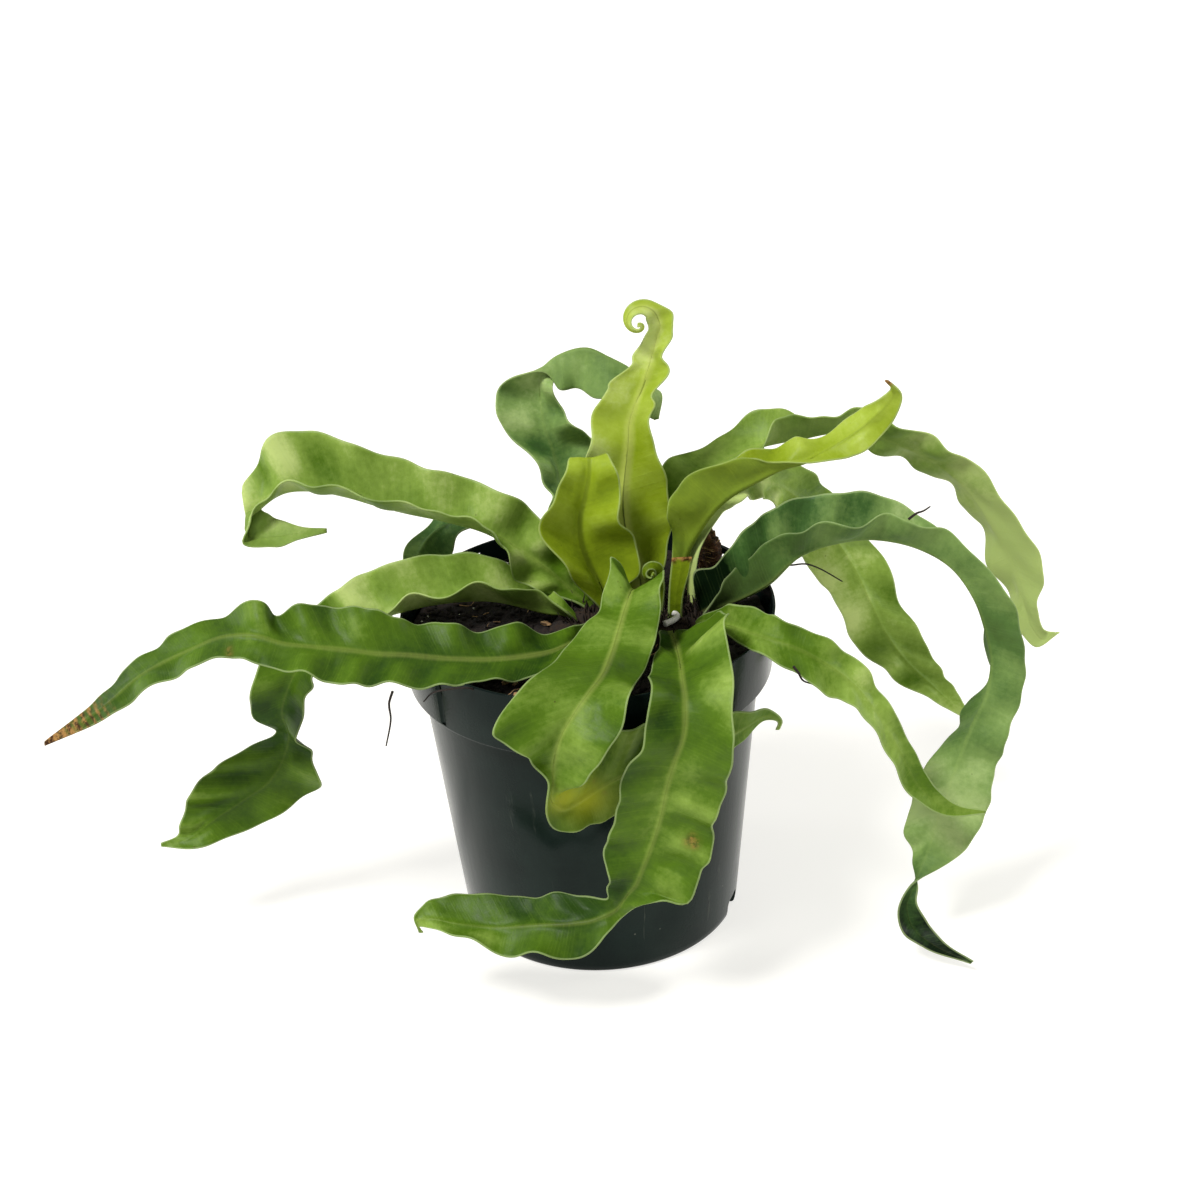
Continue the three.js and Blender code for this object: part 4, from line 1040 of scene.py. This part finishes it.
def pot_piece():
    inner = POT_BASE_RADIUS + (WALL_TOP_RADIUS - POT_BASE_RADIUS) * FLOOR / BAND_FOOT - WALL
    lip = POT_TOP_RADIUS - 0.2
    corners = [
        (0, 0, 0),
        (POT_BASE_RADIUS - 0.6, 0, 1.5),
        (POT_BASE_RADIUS + 0.4, 3, 1.5),
        (WALL_TOP_RADIUS - 0.2, BAND_FOOT - 1.5, 1),
        (WALL_TOP_RADIUS, BAND_FOOT, 0.5),
        (BAND_LOW_RADIUS, BAND_FOOT, 0.9),
        (lip, POT_HEIGHT, 0.6),
        (lip - WALL, POT_HEIGHT, 0.6),
        (BAND_LOW_RADIUS - WALL - 0.3, BAND_FOOT + 2, 0.8),
        (WALL_TOP_RADIUS - WALL, BAND_FOOT + 1.4, 0.8),
        (inner, FLOOR, 1),
        (0, FLOOR, 0),
    ]
    pot = turned_piece("pot_shell", rounded(corners), POT_SIDES, POT_PLASTIC)
    drains = [drain_cutter(360 / DRAIN_COUNT * k + DRAIN_ANGLE) for k in range(DRAIN_COUNT)]
    slots = [slot_cutter(360 / SLOT_COUNT * k + SLOT_ANGLE) for k in range(SLOT_COUNT)]
    carve(pot, drains + slots)
    pot.data.set_sharp_from_angle(angle=radians(40))
    return seat(pot, "pot_plastic", "pot")


pot_piece()


# Peat, crown and what lies on them


def rough(x, y, z, scale):
    """Layered noise between about -1 and 1 at a place in millimetres."""
    return noise.fractal(Vector((x, y, z)) / scale, 1.0, 2.0, 4)


def crown_share(x, y):
    """0 in the middle of the crown, 1 at its edge."""
    return hypot((x - CROWN_MIDDLE[0]) / CROWN_HALF[0], (y - CROWN_MIDDLE[1]) / CROWN_HALF[1])


def soil_height(x, y):
    """Height of the peat: the solid's lumps with crumbs on them, low under the crown and the clod."""
    lumps = 1.3 * sin(x / 9 + 1) * cos(y / 7) + 0.8 * sin(x / 4.3 + y / 5.1)
    edge = float(ease((hypot(x, y) - 60) / 16))
    fine = 1.1 * rough(x, y, 0, 7) + 0.5 * rough(x, y, 9, 1.8)
    under = float(ease((1 - crown_share(x, y)) / 0.12))
    clod = hypot(x - CLOD_PLACE[0], y - CLOD_PLACE[1])
    under = max(under, float(ease((CLOD_HALF[0] - clod) / 2)))
    return SOIL_TOP + lumps * (1 - 0.5 * edge) + fine - 5 * under


def soil_piece():
    """The root ball, with a crumbly top."""
    sides, rings = SOIL_GRID
    foot = FLOOR + 0.3
    wall = [
        (POT_BASE_RADIUS - WALL - SOIL_GAP, foot),
        (WALL_TOP_RADIUS - WALL - SOIL_GAP, BAND_FOOT + 1.9),
        (SOIL_RADIUS, BAND_FOOT + 3.2),
    ]
    points = [(0, 0, foot)]
    for r, z in wall:
        points += ring_at(r, z, sides)
    for i in range(rings):
        ring = ring_at(SOIL_RADIUS * (1 - i / rings), 0, sides)
        points += [(x, y, soil_height(x, y)) for x, y, _ in ring]
    points.append((0, 0, soil_height(0, 0)))
    return seat(mesh_piece("root_ball", points, turned_faces(len(wall) + rings, sides), SOIL), "soil", "soil")


def crown_piece():
    """The mound of leaf bases: low, uneven and fibrous."""
    sides, rings = CROWN_GRID
    points = []
    for i in range(rings):
        share = 1 - i / rings
        for j in range(sides):
            a = TURN * j / sides
            x = CROWN_MIDDLE[0] + CROWN_HALF[0] * share * cos(a)
            y = CROWN_MIDDLE[1] + CROWN_HALF[1] * share * sin(a)
            dome = (1 - share**4) ** 0.5 if i else 0
            lump = 1.0 * rough(x, y, 3, 8) + 0.7 * abs(rough(x, y, 5, 2.5))
            points.append((x, y, CROWN_RIM + CROWN_RISE * dome + lump))
    lower = [(x, y, CROWN_FOOT) for x, y, _ in points[:sides]]
    points = lower + points + [(*CROWN_MIDDLE, CROWN_TOP)]
    faces = sweep_faces(rings + 1, sides, False) + top_faces(len(points) - 1, sides)
    faces.append(tuple(range(sides - 1, -1, -1)))
    return seat(mesh_piece("crown_mound", points, faces, SCALES), "crown_scales", "crown")


def joined(name, parts, material, slot):
    """One piece from many small ones: each is points and faces."""
    points, faces = [], []
    for more, more_faces in parts:
        start = len(points)
        points += [tuple(p) for p in more]
        faces += [tuple(start + k for k in face) for face in more_faces]
    return seat(mesh_piece(name, points, faces, material), slot)


def ball(level):
    """Points and faces of an even ball of radius 1."""
    shape = bmesh.new()
    bmesh.ops.create_icosphere(shape, subdivisions=level, radius=1)
    points = [v.co.copy() for v in shape.verts]
    faces = [tuple(v.index for v in face.verts) for face in shape.faces]
    shape.free()
    return points, faces


def blob(centre, halves, rng):
    """An irregular grain: points and faces."""
    points, faces = ball(2)
    turn = Matrix.Rotation(rng.uniform(0, 6.3), 3, "Z") @ Matrix.Rotation(rng.uniform(-0.6, 0.6), 3, "X")
    seed = Vector((rng.uniform(0, 99), rng.uniform(0, 99), rng.uniform(0, 99)))
    moved = []
    for p in points:
        k = 1 + 0.6 * noise.noise(p * 1.7 + seed)
        moved.append(Vector(centre) + turn @ Vector(c * h * k for c, h in zip(p, halves)))
    return moved, faces


def strand(route, thickness, sides=5, taper=0.5):
    """A thin root or fibre along a smooth route: points and faces."""
    route = np.array(route, float)
    at = np.linspace(0, len(route) - 1, 5 * (len(route) - 1) + 1)
    grown = np.vstack([2 * route[0] - route[1], route, 2 * route[-1] - route[-2]])
    line = []
    for t in at:
        i = min(int(t), len(route) - 2)
        u = t - i
        a, b, c, d = grown[i : i + 4]
        bend = (2 * a - 5 * b + 4 * c - d) * u**2 + (3 * b - a - 3 * c + d) * u**3
        line.append(0.5 * (2 * b + (c - a) * u + bend))
    line = np.array(line)
    forward = unit(np.gradient(line, axis=0))
    helper = np.array([0.31, 0.27, 0.91])
    one = unit(np.cross(forward, helper))
    two = np.cross(forward, one)
    angles = np.linspace(0, TURN, sides, False)
    points = []
    for k, (p, e, f) in enumerate(zip(line, one, two)):
        r = thickness * (1 - taper * k / len(line)) / 2
        points += [p + r * (cos(a) * e + sin(a) * f) for a in angles]
    return points, sweep_faces(len(line), sides)


def ground_place(rng, inner=0.0):
    """A random place on the peat, outside the crown."""
    while True:
        r, a = SOIL_RADIUS * sqrt(rng.uniform(inner, 0.95)), rng.uniform(0, TURN)
        x, y = r * cos(a), r * sin(a)
        if crown_share(x, y) > 0.9:
            return x, y


PEAT_CRUMBS = 1100
PERLITE_GRAINS = 46
PERLITE_SPOTS = [(-52, -54), (-46, -57), (-41, -60), (-35, -64), (-50, -59)]
CHIP_SPOTS = [(-19, 4), (-36, -48), (-32, -48), (-54, -52), (-30, -61), (12, 62), (-48, 30), (66, 20)]


def crumbs():
    """Crumbs of peat, perlite grains and tan chips, half sunk in the surface."""
    rng = random.Random(11)

    def crumb(place, sizes, rise):
        """A grain whose middle lies above the peat by a share of its size."""
        x, y = place
        size = rng.uniform(*sizes)
        return blob((x, y, soil_height(x, y) + rise * size), (size, size * 0.8, size * 0.7), rng)

    peat = [crumb(ground_place(rng), (0.5, 1.9), rise=0.2) for _ in range(PEAT_CRUMBS)]
    pale = [crumb(ground_place(rng, 0.5), (0.4, 1.1), rise=0.5) for _ in range(PERLITE_GRAINS)]
    chips = []
    for x, y in CHIP_SPOTS:
        size = rng.uniform(1.4, 2.6)
        chips.append(blob((x, y, soil_height(x, y) + 0.7), (size, size * 0.5, 0.6), rng))
    pale += [crumb(spot, (0.8, 1.4), rise=0.6) for spot in PERLITE_SPOTS]
    joined("peat_crumbs", peat, SOIL, "soil")
    joined("perlite_grains", pale, PERLITE, "soil")
    joined("tan_chips", chips, CHIP, "soil")


def perlite_hook():
    """The white bent grain that lies on the crown."""
    route = [(33, -13, 147.6), (36, -11, 147.8), (38.5, -8.5, 148), (38.8, -6, 148.2), (37.4, -4.4, 148.4)]
    joined("perlite_hook", [strand(route, thickness=3, sides=9, taper=0.2)], PERLITE, "soil")


FIBRES = 190
FIBRE_THICKNESS = (0.3, 0.6)


def fibres():
    """Fine roots lying on the peat."""
    rng = random.Random(23)
    dark, tan = [], []
    for k in range(FIBRES):
        x, y = ground_place(rng)
        heading = rng.uniform(0, TURN)
        route = []
        for _ in range(rng.randint(4, 7)):
            route.append((x, y, soil_height(x, y) + rng.uniform(0.3, 1.4)))
            heading += rng.uniform(-0.7, 0.7)
            step = rng.uniform(2, 4)
            x, y = x + step * cos(heading), y + step * sin(heading)
            if hypot(x, y) > SOIL_RADIUS - 1:
                break
        if len(route) > 2:
            (tan if k % 5 == 0 else dark).append(strand(route, rng.uniform(*FIBRE_THICKNESS)))
    joined("dark_fibres", dark, ROOT, "soil")
    joined("tan_fibres", tan, CHIP, "soil")


def scale_blade(foot, heading, lean, length, width):
    """One papery scale: a narrow pointed blade, thin and slightly hollow."""
    steps, rows = 6, []
    ahead = np.array([cos(heading) * sin(lean), sin(heading) * sin(lean), cos(lean)])
    side = np.array([-sin(heading), cos(heading), 0])
    out = np.cross(side, ahead)
    for i in range(steps + 1):
        t = i / steps
        half = width * (0.55 + t) * (1 - t) ** 0.8 + 0.05
        p = np.array(foot) + ahead * length * t + out * 0.12 * length * t * t
        rows.append([p - side * half, p + out * 0.25, p + side * half, p - out * 0.1])
    points = [p for row in rows for p in row]
    return points, sweep_faces(steps + 1, 4)


SCALES_PER_FROND = 24


def crown_scales():
    """Brown scales round the foot of each frond."""
    rng = random.Random(37)
    parts = []
    for frond in FRONDS.values():
        for _ in range(SCALES_PER_FROND):
            a = rng.uniform(0, TURN)
            r = rng.uniform(3.2, 6.5)
            x, y = frond.foot[0] + r * cos(a), frond.foot[1] + r * sin(a)
            if crown_share(x, y) > 0.95:
                continue
            foot = (x, y, CROWN_TOP - 2 + rng.uniform(-1, 1))
            parts.append(scale_blade(foot, a, rng.uniform(0.1, 0.7), rng.uniform(4, 9), rng.uniform(0.5, 1)))
    joined("brown_scales", parts, SCALES, "crown_scales")


CLOD_FIBRES = 70


def clod():
    """The lump of fibrous peat behind the crown, with loose fibres round it."""
    even, faces = ball(5)
    points = []
    for v in even:
        x, y, z = v
        k = 1 + 0.12 * sin(5 * x + 4 * z) * cos(6 * y + 2)
        p = Vector((x * CLOD_HALF[0], y * CLOD_HALF[1], z * CLOD_HALF[2])) * k
        layers = 0.5 * sin(p.z * 2.1 + 2 * rough(*p, 4))
        p += v * (layers + 0.9 * rough(*p, 3.5))
        points.append(Vector(CLOD_PLACE) + p)
    seat(mesh_piece("fibrous_clod", points, faces, PEAT), "peat", "peat_clod")
    rng = random.Random(41)
    dark, tan = [], []
    for k in range(CLOD_FIBRES):
        a, z = rng.uniform(0, TURN), rng.uniform(-8, 10)
        r = sqrt(max(0.1, 1 - (z / CLOD_HALF[2]) ** 2))
        route = []
        for i in range(5):
            turn = a + 0.28 * i
            reach = r * (1 + 0.06 * sin(i + k)) + (0.08 * max(0, i - 3) if k % 3 == 0 else 0)
            x = CLOD_PLACE[0] + (CLOD_HALF[0] + 0.4) * reach * cos(turn)
            y = CLOD_PLACE[1] + (CLOD_HALF[1] + 0.4) * reach * sin(turn)
            route.append((x, y, CLOD_PLACE[2] + z + 0.5 * sin(i * 1.3 + k)))
        (tan if k % 4 == 0 else dark).append(strand(route, rng.uniform(*FIBRE_THICKNESS)))
    joined("clod_fibres", dark, PEAT, "peat")
    joined("clod_tan_fibres", tan, CHIP, "peat")


# Loose roots, point by point from where each is held to its free end
LOOSE_ROOTS = [
    [
        (74, 36, 142), (80, 37, 150), (86, 38, 151), (92, 38, 147), (100, 38, 147),
        (107, 38, 144), (117, 38, 137),
    ],
    [(-44, -59, 143), (-49, -66, 151), (-53, -68, 153), (-60, -67, 152), (-66, -64, 149), (-70, -62, 144)],
    [(-82, -66, 152), (-84, -66, 146), (-84, -66, 138), (-87, -66, 126)],
    [(84, -60, 150), (86, -60, 147), (88, -60, 143), (92, -60, 141)],
    [(-30, -66, 143), (-31, -76, 152), (-32, -80, 150), (-31, -82, 140)],
    [(139, -9, 190), (142, -10, 193), (145, -10, 194), (148, -10, 196)],
    [(66, 38, 143), (70, 44, 150), (73, 46, 152), (78, 44, 149), (84, 42, 146)],
]


def loose_roots():
    parts = [strand(route, thickness=1.2, sides=7) for route in LOOSE_ROOTS]
    joined("loose_roots", parts, ROOT, "crown_scales")


soil_piece()
crown_piece()
crown_scales()
crumbs()
perlite_hook()
fibres()
clod()
loose_roots()


# Stage, camera and light

CAMERA_PLACE = Vector((0, -0.8515, 0.605))
CAMERA_YAW = radians(0.38)
CAMERA_PITCH = radians(27.89)
CAMERA_ROLL = radians(2.93)
CAMERA_LENS = 66
SENSOR_WIDTH = 36
FLOOR_SIZE = 6
FLOOR_WHITE = shade(0xB4B2AC)
FLOOR_SPECK = shade(0xA8A498)
WORLD_LIGHT = 0.36


def stage_floor():
    look = Look("floor_paper", Emission_Color=(1, 0.99, 0.96), Emission_Strength=0.7)
    speckle = look.noise(60)
    colour = look.mix(look.remap(speckle, 0.3, 0.7, 0, 0.04), FLOOR_WHITE, FLOOR_SPECK)
    material = look.finish(colour, look.remap(speckle, 0.3, 0.7, 0.75, 0.9))
    half = FLOOR_SIZE / 2 / MM
    corners = [(-half, -half, 0), (half, -half, 0), (half, half, 0), (-half, half, 0)]
    mesh_piece("floor", corners, [(0, 1, 2, 3)], material)


def camera():
    ahead = Vector((sin(CAMERA_YAW), cos(CAMERA_YAW), 0)) * cos(CAMERA_PITCH)
    ahead -= Vector((0, 0, sin(CAMERA_PITCH)))
    level = Vector((cos(CAMERA_YAW), -sin(CAMERA_YAW), 0))
    raised = level.cross(ahead)
    right = level * cos(CAMERA_ROLL) - raised * sin(CAMERA_ROLL)
    up = level * sin(CAMERA_ROLL) + raised * cos(CAMERA_ROLL)
    data = bpy.data.cameras.new("camera")
    data.lens = CAMERA_LENS
    data.sensor_width = SENSOR_WIDTH
    data.clip_start = 0.05
    made = placed("camera", data)
    axes = Matrix((right, up, -ahead)).transposed().to_4x4()
    made.matrix_world = Matrix.Translation(CAMERA_PLACE) @ axes
    bpy.context.scene.camera = made


def softbox(name, place, size, power):
    """A soft panel that faces the plant."""
    data = bpy.data.lights.new(name, "AREA")
    data.shape = "RECTANGLE"
    data.size, data.size_y = size
    data.energy = power
    lamp = placed(name, data)
    lamp.location = place
    lamp.rotation_euler = (Vector((0, 0, 0.15)) - Vector(place)).to_track_quat("-Z", "Y").to_euler()


def soft_sun(place, strength, spread):
    """An even light over the whole stage, from the direction of place."""
    data = bpy.data.lights.new("key", "SUN")
    data.energy = strength
    data.angle = radians(spread)
    placed("key", data).rotation_euler = Vector(place).to_track_quat("Z", "Y").to_euler()


def lights():
    world = bpy.data.worlds.new("studio")
    world.use_nodes = True
    back = next(n for n in world.node_tree.nodes if n.type == "BACKGROUND")
    back.inputs["Color"].default_value = (1, 1, 1, 1)
    back.inputs["Strength"].default_value = WORLD_LIGHT
    bpy.context.scene.world = world
    soft_sun((-0.6, -0.5, 1.25), strength=3.2, spread=16)
    softbox("right_edge", (1.2, 0.25, 0.45), size=(0.3, 0.9), power=6)
    softbox("left_edge", (-1.2, 0.3, 0.35), size=(0.3, 0.9), power=4)


stage_floor()
camera()
lights()
bpy.context.scene.view_settings.view_transform = "Standard"
